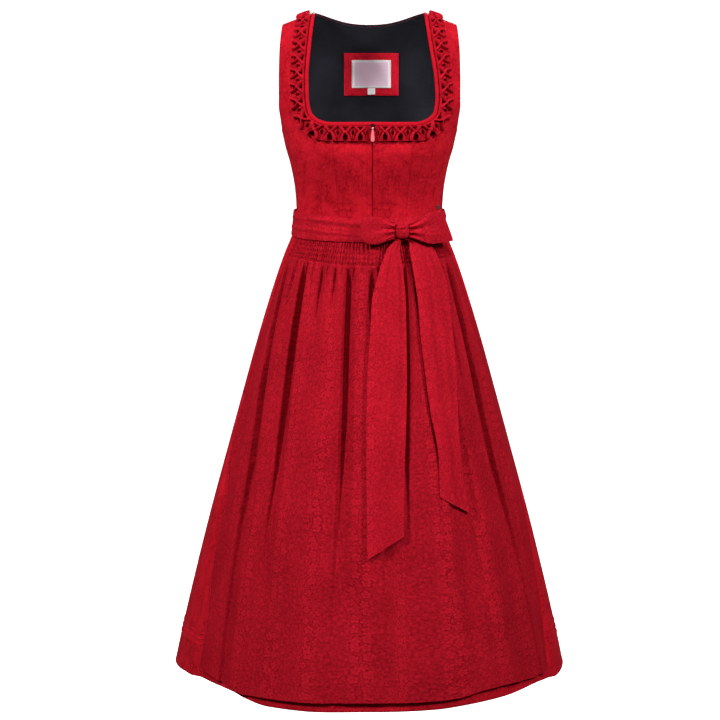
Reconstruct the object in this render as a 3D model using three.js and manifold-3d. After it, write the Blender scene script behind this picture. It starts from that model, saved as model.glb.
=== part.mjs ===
// Sleeveless dirndl with a tied apron, filled out as it is worn, with no wearer.
// Millimetres, +Z up, front towards -Y, +X towards the wearer's left. The origin lies between the shoulders.
import * as THREE from 'three';
import { mergeVertices } from 'three/addons/utils/BufferGeometryUtils.js';
import Module from 'manifold-3d';

// Cloth walls and the gaps between pieces
const CLOTH = 1.8;
const SKIRT_CLOTH = 2.2;
const LINING_CLOTH = 1.2;
const SEAM_GAP = 0.3;
const LAID_GAP = 0.6;
const INSIDE_GAP = 0.9;
const LINING_DEPTH = 3.4;

// Heights of the main lines
const BUST_Z = -241;
const WAIST_Z = -384;
const HEM_Z = -1199;
const APRON_HEM_Z = -1186;

// Shoulder line: it falls from the neck towards the arm, and is slightly crowned between the neck points
const NECK_POINT_X = 97;
const SHOULDER_SLOPE = 0.373;
const NECK_CROWN = 18;

// The front closes a little to the wearer's left of the middle of the figure
const CENTRE_FRONT_X = 5;

// Outer face of the body: half width, depth to the front and to the back, and roundness of the section.
// Above the underarm the half width runs on past the armhole edge, which cuts the panels.
const BODY_LEVELS = [
  { z: 20, half: 172, front: 112, back: 104, round: 2.3 },
  { z: -159, half: 171.5, front: 115, back: 104, round: 2.3 },
  { z: -190, half: 164, front: 118, back: 101, round: 2.3 },
  { z: -214, half: 157, front: 119, back: 99, round: 2.3 },
  { z: -241, half: 151, front: 119, back: 97, round: 2.3 },
  { z: -263, half: 144.5, front: 115, back: 94, round: 2.3 },
  { z: -285, half: 139.5, front: 109, back: 91, round: 2.3 },
  { z: -317, half: 134.5, front: 100, back: 88, round: 2.3 },
  { z: -350, half: 132.5, front: 94, back: 87, round: 2.3 },
  { z: -384, half: 133.5, front: 93, back: 88, round: 2.3 },
];

// Outline of the skirt and apron, which the folds sink into
const SKIRT_LEVELS = [
  { z: -384, half: 135.5, front: 95.5, back: 90.5, round: 2.3 },
  { z: -404, half: 143, front: 102, back: 98, round: 2.3 },
  { z: -425, half: 152, front: 109, back: 106, round: 2.28 },
  { z: -463, half: 166, front: 118.5, back: 116, round: 2.25 },
  { z: -518, half: 184, front: 132, back: 130, round: 2.2 },
  { z: -601, half: 209, front: 152, back: 150, round: 2.15 },
  { z: -685, half: 232.5, front: 172, back: 170, round: 2.1 },
  { z: -798, half: 264, front: 198, back: 196, round: 2.08 },
  { z: -912, half: 295.5, front: 224, back: 222, round: 2.05 },
  { z: -1027, half: 325, front: 250, back: 248, round: 2 },
  { z: -1144, half: 353, front: 278, back: 276, round: 2 },
  { z: -1199, half: 365, front: 290, back: 288, round: 2 },
];

// Inner face of the tie band round the waist
const BAND_LEVELS = [
  { z: -350, half: 136, front: 97.5, back: 91, round: 2.3 },
  { z: -384, half: 138.5, front: 99.9, back: 94.9, round: 2.3 },
  { z: -404, half: 142.9, front: 102.3, back: 98.5, round: 2.3 },
];
const BAND_CLOTH = 2;
const BAND_CREASES = [0, 1.3, 0.5, 1.5, 0.4, 0];

// Upper and lower edge of the band: it dips at the front, angles in degrees from the centre front
const BAND_EDGES = [
  { angle: 0, top: -363.5, bottom: -403.2 },
  { angle: 45, top: -357, bottom: -401 },
  { angle: 90, top: -353, bottom: -396 },
  { angle: 135, top: -350.5, bottom: -393 },
  { angle: 180, top: -350, bottom: -391 },
];

// Seams and edges of the front, as distances out from the closing line
const FRONT_PRINCESS = [
  { z: -384, out: 60 },
  { z: -350, out: 61 },
  { z: -312, out: 63 },
  { z: -276, out: 66 },
  { z: -244, out: 70 },
  { z: -222, out: 73 },
  { z: -199.5, out: 76 },
];
const FRONT_TOP_Z = -199.5;
const FRONT_CENTRE_COLUMNS = 5;
const NECK_SEAM = [
  { z: -199.5, out: 76 },
  { z: -197, out: 90 },
  { z: -190, out: 104 },
  { z: -177, out: 114 },
  { z: -150, out: 118 },
  { z: -112, out: 117 },
  { z: -76, out: 113 },
  { z: -45, out: 109 },
  { z: -21, out: 106 },
  { z: -7, out: 104.5 },
  { z: 'shoulder', out: 104 },
];
const FRONT_ARMHOLE = [
  { z: -206, x: 157.5 },
  { z: -197, x: 158.5 },
  { z: -182, x: 160.5 },
  { z: -155, x: 162 },
  { z: -122, x: 162 },
  { z: -92, x: 161.5 },
  { z: -64, x: 160.5 },
  { z: -42, x: 158.5 },
  { z: -29, x: 157 },
  { z: 'shoulder', x: 156 },
];
const SIDE_SEAM_HEIGHTS = [-384, -350, -312, -276, -248, -230, -214];
const FRONT_SIDE_COLUMNS = 7;

// Seams and edges of the back
const BACK_PRINCESS = [
  { z: -384, x: 56 },
  { z: -350, x: 58 },
  { z: -312, x: 63 },
  { z: -276, x: 71 },
  { z: -244, x: 82 },
  { z: -215, x: 98 },
  { z: -188, x: 116 },
  { z: -165, x: 134 },
  { z: -150, x: 148 },
];
const BACK_ARMHOLE = [
  { z: -203, x: 156 },
  { z: -187, x: 152.5 },
  { z: -168, x: 149.5 },
  { z: -150, x: 148 },
  { z: -112, x: 148.5 },
  { z: -78, x: 151 },
  { z: -52, x: 153.5 },
  { z: -35, x: 155 },
  { z: -26.5, x: 156 },
  { z: 'shoulder', x: 156 },
];
const BACK_CENTRE_HEIGHTS = [-384, -350, -312, -276, -244, -215, -188, -165, -150, -120, -92, -66, -46, -33, -23];
const BACK_NECK_DEPTH_Z = -23;
const BACK_NECK_COLUMNS = 5;
const BACK_SHOULDER_COLUMNS = 2;
const BACK_SIDE_COLUMNS = 5;

// The black lining keeps these heights in the middle, and these rows of the panels' outer edge
const LINING_HEIGHTS = [-382, -350, -312, -276, -244, -200, -165, -120, -92, -60, -36, -24];
const LINING_EDGE_ROWS = [0, 1, 2, 3, 4, 6, 8, 10, 12, 13, 15, 16];
const LINING_NECK_COLUMNS = 4;
const LINING_TUCK = { angle: 0.985, fall: 0.065 };

// Edge binding and pinched trim along the neckline
const BINDING_WIDTH = 7;
const BACK_BINDING_WIDTH = 3.2;
const TRIM_START = 0.8;
const TRIM_WIDTH = 26;
const TRIM_UNITS = 13;
const TRIM_STEPS = 4;
const TRIM_BASE_ROWS = 3;
const TRIM_LOW = 2.2;
const TRIM_HIGH = 7.5;
const TRIM_END_GAP = 9;
const BACK_BINDING_LEAN = { y: -0.45, z: 0.9 };

// Centre front zip
const ZIP_TAPE_HALF = 12;
const ZIP_TOP_Z = -203;
const ZIP_BOTTOM_Z = -374;
const SLIDER = { z: -199, width: 6.4, height: 9, depth: 2.4, out: 2.2 };
const TAB_PIVOT = { z: -203.5, out: 6.6 };
const TAB_LENGTH = 23;
const TAB_WIDTH = 6.6;
const TAB_THICKNESS = 1.6;
const KNUCKLE_RADIUS = 1.9;
const KNUCKLE_HOLE = 1.1;
const KNUCKLE_LENGTH = 3;
const PIN_RADIUS = 0.7;
const CHEEK = { gap: 0.4, width: 1 };

// Label on the back lining, and the metal badge on the side of the front
const PATCH = { x: 4, z: -108, width: 102, height: 78 };
const LABEL = { x: 4, z: -107, width: 73, height: 51 };
const SIZE_TAB = { x: 4, z: -139, width: 14, height: 12 };
const LABEL_CLOTH = 1;
const PATCH_GAP = 1.3;
const LABEL_GAP = 0.4;
const BADGE = { x: 122, z: -345, width: 10, height: 5.5, thickness: 1 };

// Side edges of the apron, angles in degrees from the centre front
const APRON_EDGES = [
  { z: -405, left: -68, right: 70 },
  { z: -460, left: -71, right: 73 },
  { z: -540, left: -75, right: 77 },
  { z: -620, left: -77, right: 81 },
  { z: -700, left: -77, right: 84 },
  { z: -787, left: -75, right: 84 },
  { z: -874, left: -69, right: 78 },
  { z: -1000, left: -63.5, right: 72 },
  { z: -1119, left: -58.5, right: 67.5 },
  { z: -1186, left: -58.5, right: 65 },
];
const APRON_COLUMNS = 60;
const APRON_HEIGHTS = [-490, -535, -600, -690, -790, -900, -1020, -1115, APRON_HEM_Z];

// Smocked head of the apron: narrow ribs drawn in at the stitched rows
const HEAD_RIBS = 96;
const HEAD_HEIGHT = 40.5;
const HEAD_SIDE_SHARE = 0.85;
const HEAD_ROWS = [
  { down: 0, rib: 1.6, full: 1.2 },
  { down: 0.3, rib: 2.4, full: 0.6 },
  { down: 0.62, rib: 1.6, full: -0.4 },
  { down: 1, rib: 2.6, full: 0.8 },
];

// How far the skirt lies inside the apron's outline
const UNDER_APRON = [
  { z: -384, inset: 5 },
  { z: -425, inset: 12 },
  { z: -470, inset: 21 },
  { z: -540, inset: 29 },
  { z: -700, inset: 31 },
  { z: -900, inset: 25 },
  { z: -1050, inset: 15 },
  { z: -1199, inset: 8 },
];
const UNDER_APRON_EASE = 5;

// The hems hang unevenly: how far each rises or drops at an angle, most at the hem and none above HEM_EASE_Z
const HEM_EASE_Z = -1050;
const HEM_DROPS = [
  { angle: -180, skirt: 0, apron: 0 },
  { angle: -90, skirt: 2, apron: 18 },
  { angle: -76, skirt: 7.5, apron: 19 },
  { angle: -60, skirt: 12, apron: 18 },
  { angle: -50, skirt: 10, apron: 9.5 },
  { angle: -43, skirt: 6.5, apron: 0 },
  { angle: -38, skirt: 0, apron: -4.5 },
  { angle: -30, skirt: -7.5, apron: -3.5 },
  { angle: -19, skirt: -8, apron: -3 },
  { angle: 0, skirt: -4, apron: 0.8 },
  { angle: 20, skirt: -5, apron: -0.5 },
  { angle: 26, skirt: -3.7, apron: 0.8 },
  { angle: 34, skirt: -2, apron: 6.5 },
  { angle: 42, skirt: -0.5, apron: 8.5 },
  { angle: 57, skirt: 4, apron: 5.4 },
  { angle: 70, skirt: 0, apron: 5 },
  { angle: 180, skirt: 0, apron: 0 },
];

// Main folds: their angles below the head, half way down and at the hem, how wide and deep they sink,
// the heights where each starts and is deepest, and the share of the depth that is left at the hem
const FRONT_FOLDS = [
  { top: -63, middle: -51, hem: -45, width: 5.4, depth: 23, from: -420, deepest: -540, keep: 0.12 },
  { top: -54, middle: -56, hem: -55, width: 3.4, depth: 7, from: -436, deepest: -474, keep: 0 },
  { top: -44, middle: -38.5, hem: -36.5, width: 5, depth: 19, from: -432, deepest: -560, keep: 0.1 },
  { top: -36, middle: -33, hem: -31, width: 3.4, depth: 5, from: -436, deepest: -476, keep: 0 },
  { top: -28, middle: -27, hem: -25, width: 3.8, depth: 8, from: -436, deepest: -490, keep: 0.1 },
  { top: -19, middle: -19, hem: -20, width: 3.6, depth: 8, from: -436, deepest: -486, keep: 0.15 },
  { top: -11.8, middle: -10.8, hem: -10.4, width: 3.8, depth: 21, from: -436, deepest: -540, keep: 0.12 },
  { top: -4.5, middle: -5, hem: -4, width: 3.4, depth: 5, from: -440, deepest: -485, keep: 0.2 },
  { top: 1, middle: 4.5, hem: 6, width: 4.4, depth: 8, from: -440, deepest: -500, keep: 0.3 },
  { top: 9, middle: 12, hem: 15, width: 4.4, depth: 7, from: -440, deepest: -500, keep: 0.25 },
  { top: 18, middle: 21, hem: 25, width: 4.6, depth: 10, from: -440, deepest: -520, keep: 0.3 },
  { top: 27, middle: 30, hem: 33, width: 4.4, depth: 8, from: -440, deepest: -520, keep: 0.4 },
  { top: 36, middle: 38.5, hem: 41, width: 4.8, depth: 9, from: -440, deepest: -540, keep: 0.45 },
  { top: 46, middle: 47, hem: 49, width: 4.2, depth: 7, from: -440, deepest: -500, keep: 0.5 },
  { top: 57.5, middle: 55, hem: 57, width: 5.2, depth: 23, from: -422, deepest: -550, keep: 0.18 },
  { top: 66, middle: 66, hem: 65.5, width: 4.6, depth: 7, from: -450, deepest: -760, keep: 0.5 },
  { top: -70, middle: -68, hem: -69, width: 5, depth: 6, from: -450, deepest: -820, keep: 0.5 },
];
const BACK_FOLDS = 16;
const FOLD_TOP_Z = -470;
const FOLD_MIDDLE_Z = -800;

// Small gathers under the waist seam of the skirt
const GATHER = { pitch: 6.4286, depth: 3, from: -400, to: -560 };
const SKIRT_BACK_COLUMNS = 56;
const SKIRT_SIDE_COLUMNS = 13;
const SKIRT_FRONT_COLUMNS = 14;
const SKIRT_HEIGHTS = [WAIST_Z - SEAM_GAP, -425, -470, -530, -610, -700, -800, -900, -1000, -1110];
const TUCK_HEIGHTS = [-1117, -1128, -1139];
const TUCK_DEPTH = 2;
const TUCK_STEP = 0.8;

// Bow
const KNOT = { x: 57, z: -382, width: 26, height: 30, depth: 20, rings: 8, sides: 14, girth: 0.55, ends: 0.8, stand: 1 };
const LOOPS = [
  {
    name: 'bow_loop_left', side: -1, start: 12.5, reach: 60, rise: 1, slant: 0, tipHalf: 24.3, knotHalf: 14.5, lift: 12,
  },
  {
    name: 'bow_loop_right', side: 1, start: 12.6, reach: 70, rise: 5.5, slant: 0.15, tipHalf: 27.5, knotHalf: 14, lift: 14,
  },
];
const LOOP_SPREAD = 0.6;
const LOOP_CLOTH = 1.6;
const LOOP_ROWS = [1, 0.5, 0, -0.5, -1];
const LOOP_MOUTH = 166;
const LOOP_FLATNESS = 8;
const LOOP_STEPS = 16;

// Tails of the bow: heights and side edges of the flat strip, how far it stands off the apron, and the
// share of the width where its lengthwise crease lies
const TAIL_LEFT = [
  { leftX: 48, leftZ: -396.4, rightX: 56.2, rightZ: -397.3, lift: 11.7, crease: 0.6 },
  { leftX: 32, leftZ: -412.8, rightX: 53.4, rightZ: -416, lift: 9, crease: 0.6 },
  { leftX: 20.5, leftZ: -441.5, rightX: 57.6, rightZ: -442, lift: 6.5, crease: 0.66 },
  { leftX: 11, leftZ: -472.5, rightX: 61, rightZ: -473, lift: 5, crease: 0.7 },
  { leftX: 4, leftZ: -502, rightX: 63.6, rightZ: -502.5, lift: 4, crease: 0.74 },
  { leftX: 0.5, leftZ: -565, rightX: 64.6, rightZ: -560, lift: 3.2, crease: 0.78 },
  { leftX: -4.5, leftZ: -638, rightX: 65.4, rightZ: -630, lift: 3, crease: 0.7 },
  { leftX: -6.2, leftZ: -724, rightX: 64, rightZ: -710, lift: 3, crease: 0.5 },
  { leftX: -5.7, leftZ: -808, rightX: 60.6, rightZ: -800, lift: 3, crease: 0.42 },
  { leftX: -5, leftZ: -944, rightX: 59.5, rightZ: -905, lift: 3, crease: 0.4 },
];
const TAIL_RIGHT = [
  { leftX: 57.8, leftZ: -397.3, rightX: 67, rightZ: -396.4, lift: 11.7, crease: 0.4 },
  { leftX: 69.5, leftZ: -404, rightX: 104, rightZ: -407, lift: 8, crease: 0.4 },
  { leftX: 70.5, leftZ: -417, rightX: 116, rightZ: -419.5, lift: 7, crease: 0.4 },
  { leftX: 74.6, leftZ: -443, rightX: 126, rightZ: -442, lift: 5.5, crease: 0.38 },
  { leftX: 80, leftZ: -474, rightX: 136.5, rightZ: -472, lift: 4.5, crease: 0.35 },
  { leftX: 85, leftZ: -508, rightX: 142, rightZ: -506, lift: 4, crease: 0.32 },
  { leftX: 88.5, leftZ: -555, rightX: 146.5, rightZ: -551, lift: 3.5, crease: 0.3 },
  { leftX: 98.8, leftZ: -641, rightX: 154.5, rightZ: -640, lift: 3.5, crease: 0.32 },
  { leftX: 106, leftZ: -693, rightX: 156, rightZ: -692, lift: 3.5, crease: 0.4 },
  { leftX: 121, leftZ: -779, rightX: 161, rightZ: -780, lift: 3.5, crease: 0.5 },
  { leftX: 123, leftZ: -842, rightX: 175.5, rightZ: -874, lift: 3.5, crease: 0.5 },
];
const TAIL_CLOTH = 1.6;
const TAIL_COLUMNS = 6;
const CREASE_DEPTH = 3;

const DEGREE = Math.PI / 180;
const { lerp, smoothstep } = THREE.MathUtils;
const dirndl = new THREE.Group();

const RED = { color: 0xb01220, roughness: 0.62, metalness: 0 };
const APRON_RED = { color: 0x9c1420, roughness: 0.68, metalness: 0 };
const TRIM_RED = { color: 0xa80f1c, roughness: 0.6, metalness: 0 };
const BLACK = { color: 0x0d0f14, roughness: 0.8, metalness: 0 };
const PALE = { color: 0xf2dfe4, roughness: 0.75, metalness: 0 };
const GLOSS_RED = { color: 0xc23a45, roughness: 0.3, metalness: 0.1 };
const SILVER = { color: 0xb9bcc0, roughness: 0.3, metalness: 0.9 };

// Smooth curve through one named column of a table, without overshoot.
function column(rows, key, name) {
  const sorted = [...rows].sort((a, b) => a[key] - b[key]);
  const slopes = [];
  for (let i = 0; i < sorted.length - 1; i++) {
    slopes.push((sorted[i + 1][name] - sorted[i][name]) / (sorted[i + 1][key] - sorted[i][key]));
  }
  const tangents = sorted.map((row, i) => {
    const before = slopes[Math.max(i - 1, 0)];
    const after = slopes[Math.min(i, slopes.length - 1)];
    return before * after <= 0 ? 0 : (2 * before * after) / (before + after);
  });
  return (value) => {
    let i = 0;
    while (i < sorted.length - 2 && value > sorted[i + 1][key]) i++;
    const width = sorted[i + 1][key] - sorted[i][key];
    const s = THREE.MathUtils.clamp((value - sorted[i][key]) / width, 0, 1);
    const rise = sorted[i + 1][name] - sorted[i][name];
    const bend = (1 - s) * (tangents[i] * width - rise) + s * (rise - tangents[i + 1] * width);
    return sorted[i][name] + rise * s + s * (1 - s) * bend;
  };
}

// Section of a body at a height, from its table of levels.
function sectionOf(levels) {
  const half = column(levels, 'z', 'half');
  const front = column(levels, 'z', 'front');
  const back = column(levels, 'z', 'back');
  const round = column(levels, 'z', 'round');
  return (z) => ({ half: half(z), front: front(z), back: back(z), round: round(z) });
}

const bodySection = sectionOf(BODY_LEVELS);
const skirtSection = sectionOf(SKIRT_LEVELS);
const bandSection = sectionOf(BAND_LEVELS);

// Point of a section at an angle from the centre front, moved out of the section by an offset.
function ringPoint(section, angle, z, offset) {
  const { half, front, back, round } = section(z);
  const sine = Math.sin(angle);
  const cosine = Math.cos(angle);
  const face = cosine >= 0 ? -1 : 1;
  const depth = face < 0 ? front : back;
  const x = half * Math.sign(sine) * Math.abs(sine) ** (2 / round);
  const y = face * depth * Math.abs(cosine) ** (2 / round);
  const normal = new THREE.Vector2(
    Math.sign(sine) * Math.abs(sine) ** (2 - 2 / round) / half,
    face * Math.abs(cosine) ** (2 - 2 / round) / depth,
  ).normalize();
  return new THREE.Vector3(x + normal.x * offset, y + normal.y * offset, z);
}

// Front of the skirt's outline at a given x and height.
function outlineFront(x, z) {
  const { half, front, round } = skirtSection(z);
  return -front * (1 - (Math.abs(x) / half) ** round) ** (1 / round);
}

function shoulderTop(x) {
  const out = Math.abs(x);
  if (out > NECK_POINT_X) return -SHOULDER_SLOPE * (out - NECK_POINT_X);
  return NECK_CROWN * (1 - (out / NECK_POINT_X) ** 2);
}

// The bodice surface is measured by an angle from the centre line and by a fall: 0 on the shoulder line,
// 1 at the bust and 2 at the waist.
function heightOf(x, fall) {
  if (fall >= 1) return lerp(BUST_Z, WAIST_Z, fall - 1);
  return lerp(shoulderTop(x), BUST_Z, fall);
}

function bustFullness(x, z) {
  const cups = Math.exp(-(((Math.abs(x) - 72) / 48) ** 2)) - 0.35 * Math.exp(-((x / 30) ** 2));
  return 7 * cups * Math.exp(-(((z - BUST_Z) / 50) ** 2));
}

function bodyPoint(face, angle, fall) {
  const sine = Math.sin(angle);
  let x = 0;
  let z = 0;
  let section = bodySection(BUST_Z);
  for (let round = 0; round < 5; round++) {
    x = section.half * Math.sign(sine) * Math.abs(sine) ** (2 / section.round);
    z = heightOf(x, fall);
    section = bodySection(z);
  }
  const depth = face < 0 ? section.front : section.back;
  const lean = fall < 1 ? Math.sqrt(1 - (1 - fall) ** 2) : 1;
  const across = Math.abs(Math.cos(angle)) ** (2 / section.round);
  const full = face < 0 ? bustFullness(x, z) * across * lean : 0;
  return new THREE.Vector3(x, face * (depth * lean * across + full), z);
}

// Place on the surface at a given x and height, or at a given x on the shoulder line.
function locate(x, z) {
  const top = shoulderTop(x);
  const height = z === 'shoulder' ? top : z;
  const above = (top - height) / (top - BUST_Z);
  const below = 1 + (BUST_Z - height) / (BUST_Z - WAIST_Z);
  const fall = height > BUST_Z ? above : below;
  const { half, round } = bodySection(height);
  const share = Math.min(Math.abs(x) / half, 1) ** (round / 2);
  return { angle: Math.sign(x) * Math.asin(share), fall: Math.max(fall, 0) };
}

const SIDE = Math.PI / 2;
const ANGLE_STEP = 0.02;
const FALL_STEP = 0.01;
const FIGURE_CORE = new THREE.Vector3(0, 0, -200);

// Directions along the bodice surface at a point: per radian of angle and per unit of fall.
function bodyTangents(face, { angle, fall }) {
  const side = Math.min(Math.abs(angle) + ANGLE_STEP, SIDE) * Math.sign(angle || 1);
  const inner = side - 2 * ANGLE_STEP * Math.sign(angle || 1);
  const low = Math.min(fall + FALL_STEP, 2);
  const high = Math.max(fall - FALL_STEP, 0);
  const perAngle = bodyPoint(face, side, fall).sub(bodyPoint(face, inner, fall)).divideScalar(side - inner);
  const perFall = bodyPoint(face, angle, low).sub(bodyPoint(face, angle, high)).divideScalar(low - high);
  return { perAngle, perFall };
}

function bodyNormal(face, place) {
  const { perAngle, perFall } = bodyTangents(face, place);
  const point = bodyPoint(face, place.angle, place.fall);
  const normal = perAngle.cross(perFall);
  if (normal.dot(point.sub(FIGURE_CORE)) < 0) normal.negate();
  if (Math.abs(place.angle) > SIDE - 0.001) normal.y = 0;
  if (place.fall === 0) normal.set(Math.sign(place.angle) * SHOULDER_SLOPE, 0, 1);
  if (place.angle === 0) normal.x = 0;
  return normal.normalize();
}

// Point on the bodice, moved out by an offset, and kept half a seam gap clear of the other face.
function bodicePoint(face, place, offset) {
  const point = bodyPoint(face, place.angle, place.fall);
  point.addScaledVector(bodyNormal(face, place), offset);
  point.y = face * Math.max(face * point.y + SEAM_GAP / 2, SEAM_GAP / 2);
  return point;
}

// Walks over the bodice surface from a place, in a direction, for a distance.
function walk(face, start, direction, distance) {
  const steps = 4;
  let place = { ...start };
  for (let i = 0; i < steps; i++) {
    const { perAngle, perFall } = bodyTangents(face, place);
    const step = direction.clone().multiplyScalar(distance / steps);
    const aa = perAngle.dot(perAngle);
    const ab = perAngle.dot(perFall);
    const bb = perFall.dot(perFall);
    const a = perAngle.dot(step);
    const b = perFall.dot(step);
    const scale = 1 / (aa * bb - ab * ab);
    place = {
      angle: place.angle + (a * bb - b * ab) * scale,
      fall: THREE.MathUtils.clamp(place.fall + (b * aa - a * ab) * scale, 0, 2),
    };
  }
  return place;
}

// Length along a row of points, as shares of the whole.
function shares(row) {
  const lengths = [0];
  for (let i = 1; i < row.length; i++) lengths.push(lengths[i - 1] + row[i].distanceTo(row[i - 1]));
  return lengths.map((length) => length / lengths[row.length - 1]);
}

// A closed wall between an outer and an inner sheet of rows, each from top to bottom and from left to right
// as seen from outside. Rows may differ in their number of points, and the sheets in their number of rows.
function wall(outer, inner) {
  const points = [];
  const faces = [];
  const enter = (row) => row.map((point) => {
    points.push(point);
    return points.length - 1;
  });
  const bridge = (upper, lower) => {
    const upperShares = shares(upper.map((index) => points[index]));
    const lowerShares = shares(lower.map((index) => points[index]));
    let i = 0;
    let j = 0;
    while (i < upper.length - 1 || j < lower.length - 1) {
      const upperNext = i < upper.length - 1 ? upperShares[i + 1] : Infinity;
      const lowerNext = j < lower.length - 1 ? lowerShares[j + 1] : Infinity;
      if (upperNext <= lowerNext) {
        faces.push(upper[i], lower[j], upper[i + 1]);
        i++;
      } else {
        faces.push(upper[i], lower[j], lower[j + 1]);
        j++;
      }
    }
  };
  const outside = outer.map(enter);
  const inside = inner.map(enter);
  for (let r = 0; r < outside.length - 1; r++) bridge(outside[r], outside[r + 1]);
  const outerFaces = faces.length;
  for (let r = 0; r < inside.length - 1; r++) bridge(inside[r], inside[r + 1]);
  for (let f = outerFaces; f < faces.length; f += 3) {
    [faces[f + 1], faces[f + 2]] = [faces[f + 2], faces[f + 1]];
  }
  bridge(inside[0], outside[0]);
  bridge(outside.at(-1), inside.at(-1));
  bridge(outside.map((row) => row[0]), inside.map((row) => row[0]));
  bridge(inside.map((row) => row.at(-1)), outside.map((row) => row.at(-1)));
  const geometry = new THREE.BufferGeometry().setFromPoints(points);
  geometry.setIndex(faces);
  return geometry;
}

function add(name, geometry, finish) {
  geometry.computeVertexNormals();
  const mesh = new THREE.Mesh(geometry, new THREE.MeshStandardMaterial({ ...finish, side: THREE.DoubleSide }));
  mesh.name = name;
  dirndl.add(mesh);
}

// Bodice panels

// Sheet of places over a panel. Its two side edges hold one place for each row, from the top down.
// The top row may bow away from a straight line between its ends.
function panelPlaces(leftEdge, rightEdge, columns, topRow) {
  const rows = leftEdge.length;
  return leftEdge.map((left, r) => {
    const right = rightEdge[r];
    const rise = (1 - r / (rows - 1)) ** 3;
    const row = [];
    for (let c = 0; c <= columns; c++) {
      const place = {
        angle: lerp(left.angle, right.angle, c / columns),
        fall: lerp(left.fall, right.fall, c / columns),
      };
      if (topRow) {
        place.angle += rise * (topRow[c].angle - lerp(leftEdge[0].angle, rightEdge[0].angle, c / columns));
        place.fall += rise * (topRow[c].fall - lerp(leftEdge[0].fall, rightEdge[0].fall, c / columns));
      }
      row.push(place);
    }
    return row;
  });
}

function panelWall(face, places, outside, inside) {
  const ordered = face < 0 ? places : places.map((row) => [...row].reverse());
  const sheet = (offset) => ordered.map((row) => row.map((place) => bodicePoint(face, place, offset)));
  return wall(sheet(outside), sheet(inside));
}

function frontPlace(side, { z, out }, gap) {
  const x = CENTRE_FRONT_X * frontShift(z) + side * (out + gap);
  return locate(x, z);
}

// The closing line runs a little off the middle, and the straps rise back to the middle of the figure.
function frontShift(z) {
  return z === 'shoulder' ? 0 : smoothstep(-z, 20, 190);
}

// Orders two edges from left to right as seen from the front.
function sided(side, inner, outer) {
  return side < 0 ? [outer, inner] : [inner, outer];
}

for (const side of [-1, 1]) {
  const hand = side < 0 ? 'right' : 'left';
  const closing = FRONT_PRINCESS.map(({ z }) => frontPlace(side, { z, out: 0 }, SEAM_GAP / 2)).reverse();
  const seamInside = FRONT_PRINCESS.map((row) => frontPlace(side, row, -SEAM_GAP / 2)).reverse();
  const seamOutside = FRONT_PRINCESS.map((row) => frontPlace(side, row, SEAM_GAP / 2));
  const [left, right] = sided(side, closing, seamInside);
  const centrePlaces = panelPlaces(left, right, FRONT_CENTRE_COLUMNS);
  add(`bodice_front_centre_${hand}`, panelWall(-1, centrePlaces, 0, -CLOTH), RED);

  const neckEdge = NECK_SEAM.slice(1).map((row) => frontPlace(side, row, 0));
  const innerEdge = [...seamOutside, ...neckEdge].reverse();
  const [leftSide, rightSide] = sided(side, innerEdge, outerEdge(side, FRONT_ARMHOLE).reverse());
  const sidePlaces = panelPlaces(leftSide, rightSide, FRONT_SIDE_COLUMNS);
  add(`bodice_front_side_${hand}`, panelWall(-1, sidePlaces, 0, -CLOTH), RED);
}

// Outer edge of a panel from the waist up: the side seam, then the armhole.
function outerEdge(side, armhole) {
  const seam = SIDE_SEAM_HEIGHTS.map((z) => {
    const { fall } = locate(side * bodySection(z).half, z);
    return { angle: side * SIDE, fall };
  });
  return [...seam, ...armhole.map(({ z, x }) => locate(side * x, z))];
}

// Top row of the back from the middle out: the neckline, then the shoulder seam.
function backTop(neckColumns, shoulderColumns) {
  const top = [];
  for (let c = 0; c <= neckColumns; c++) {
    const x = (NECK_SEAM.at(-1).out * c) / neckColumns;
    const curve = (c / neckColumns) ** 2.6;
    const z = lerp(BACK_NECK_DEPTH_Z, shoulderTop(x), curve);
    top.push(c === neckColumns ? locate(x, 'shoulder') : locate(x, z));
  }
  for (let c = 1; c <= shoulderColumns; c++) {
    top.push(locate(lerp(NECK_SEAM.at(-1).out, FRONT_ARMHOLE.at(-1).x, c / shoulderColumns), 'shoulder'));
  }
  return top;
}

function mirrored(row) {
  const left = row.slice(1).reverse().map(({ angle, fall }) => ({ angle: -angle, fall }));
  return [...left, ...row];
}

{
  const seamRows = BACK_PRINCESS.map(({ z, x }) => locate(x - SEAM_GAP / 2, z));
  const armholeRows = BACK_ARMHOLE.slice(4).map(({ z, x }) => locate(x, z));
  const edge = [...seamRows, ...armholeRows].reverse();
  const centre = BACK_CENTRE_HEIGHTS.map((z) => locate(0, z)).reverse();
  const top = backTop(BACK_NECK_COLUMNS, BACK_SHOULDER_COLUMNS);
  const places = panelPlaces(centre, edge, top.length - 1, top).map(mirrored);
  add('bodice_back_centre', panelWall(1, places, 0, -CLOTH), RED);
}

for (const side of [-1, 1]) {
  const hand = side < 0 ? 'right' : 'left';
  const inner = BACK_PRINCESS.map(({ z, x }) => locate(side * (x + SEAM_GAP / 2), z)).reverse();
  const outer = outerEdge(side, BACK_ARMHOLE).slice(0, inner.length).reverse();
  const [left, right] = sided(side, inner, outer);
  add(`bodice_back_side_${hand}`, panelWall(1, panelPlaces(left, right, BACK_SIDE_COLUMNS), 0, -CLOTH), RED);
}

// The lining's edges stop a little inside the panels' edges.
function tuckedIn({ angle, fall }) {
  return { angle: angle * LINING_TUCK.angle, fall: Math.max(fall, LINING_TUCK.fall) };
}

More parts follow.
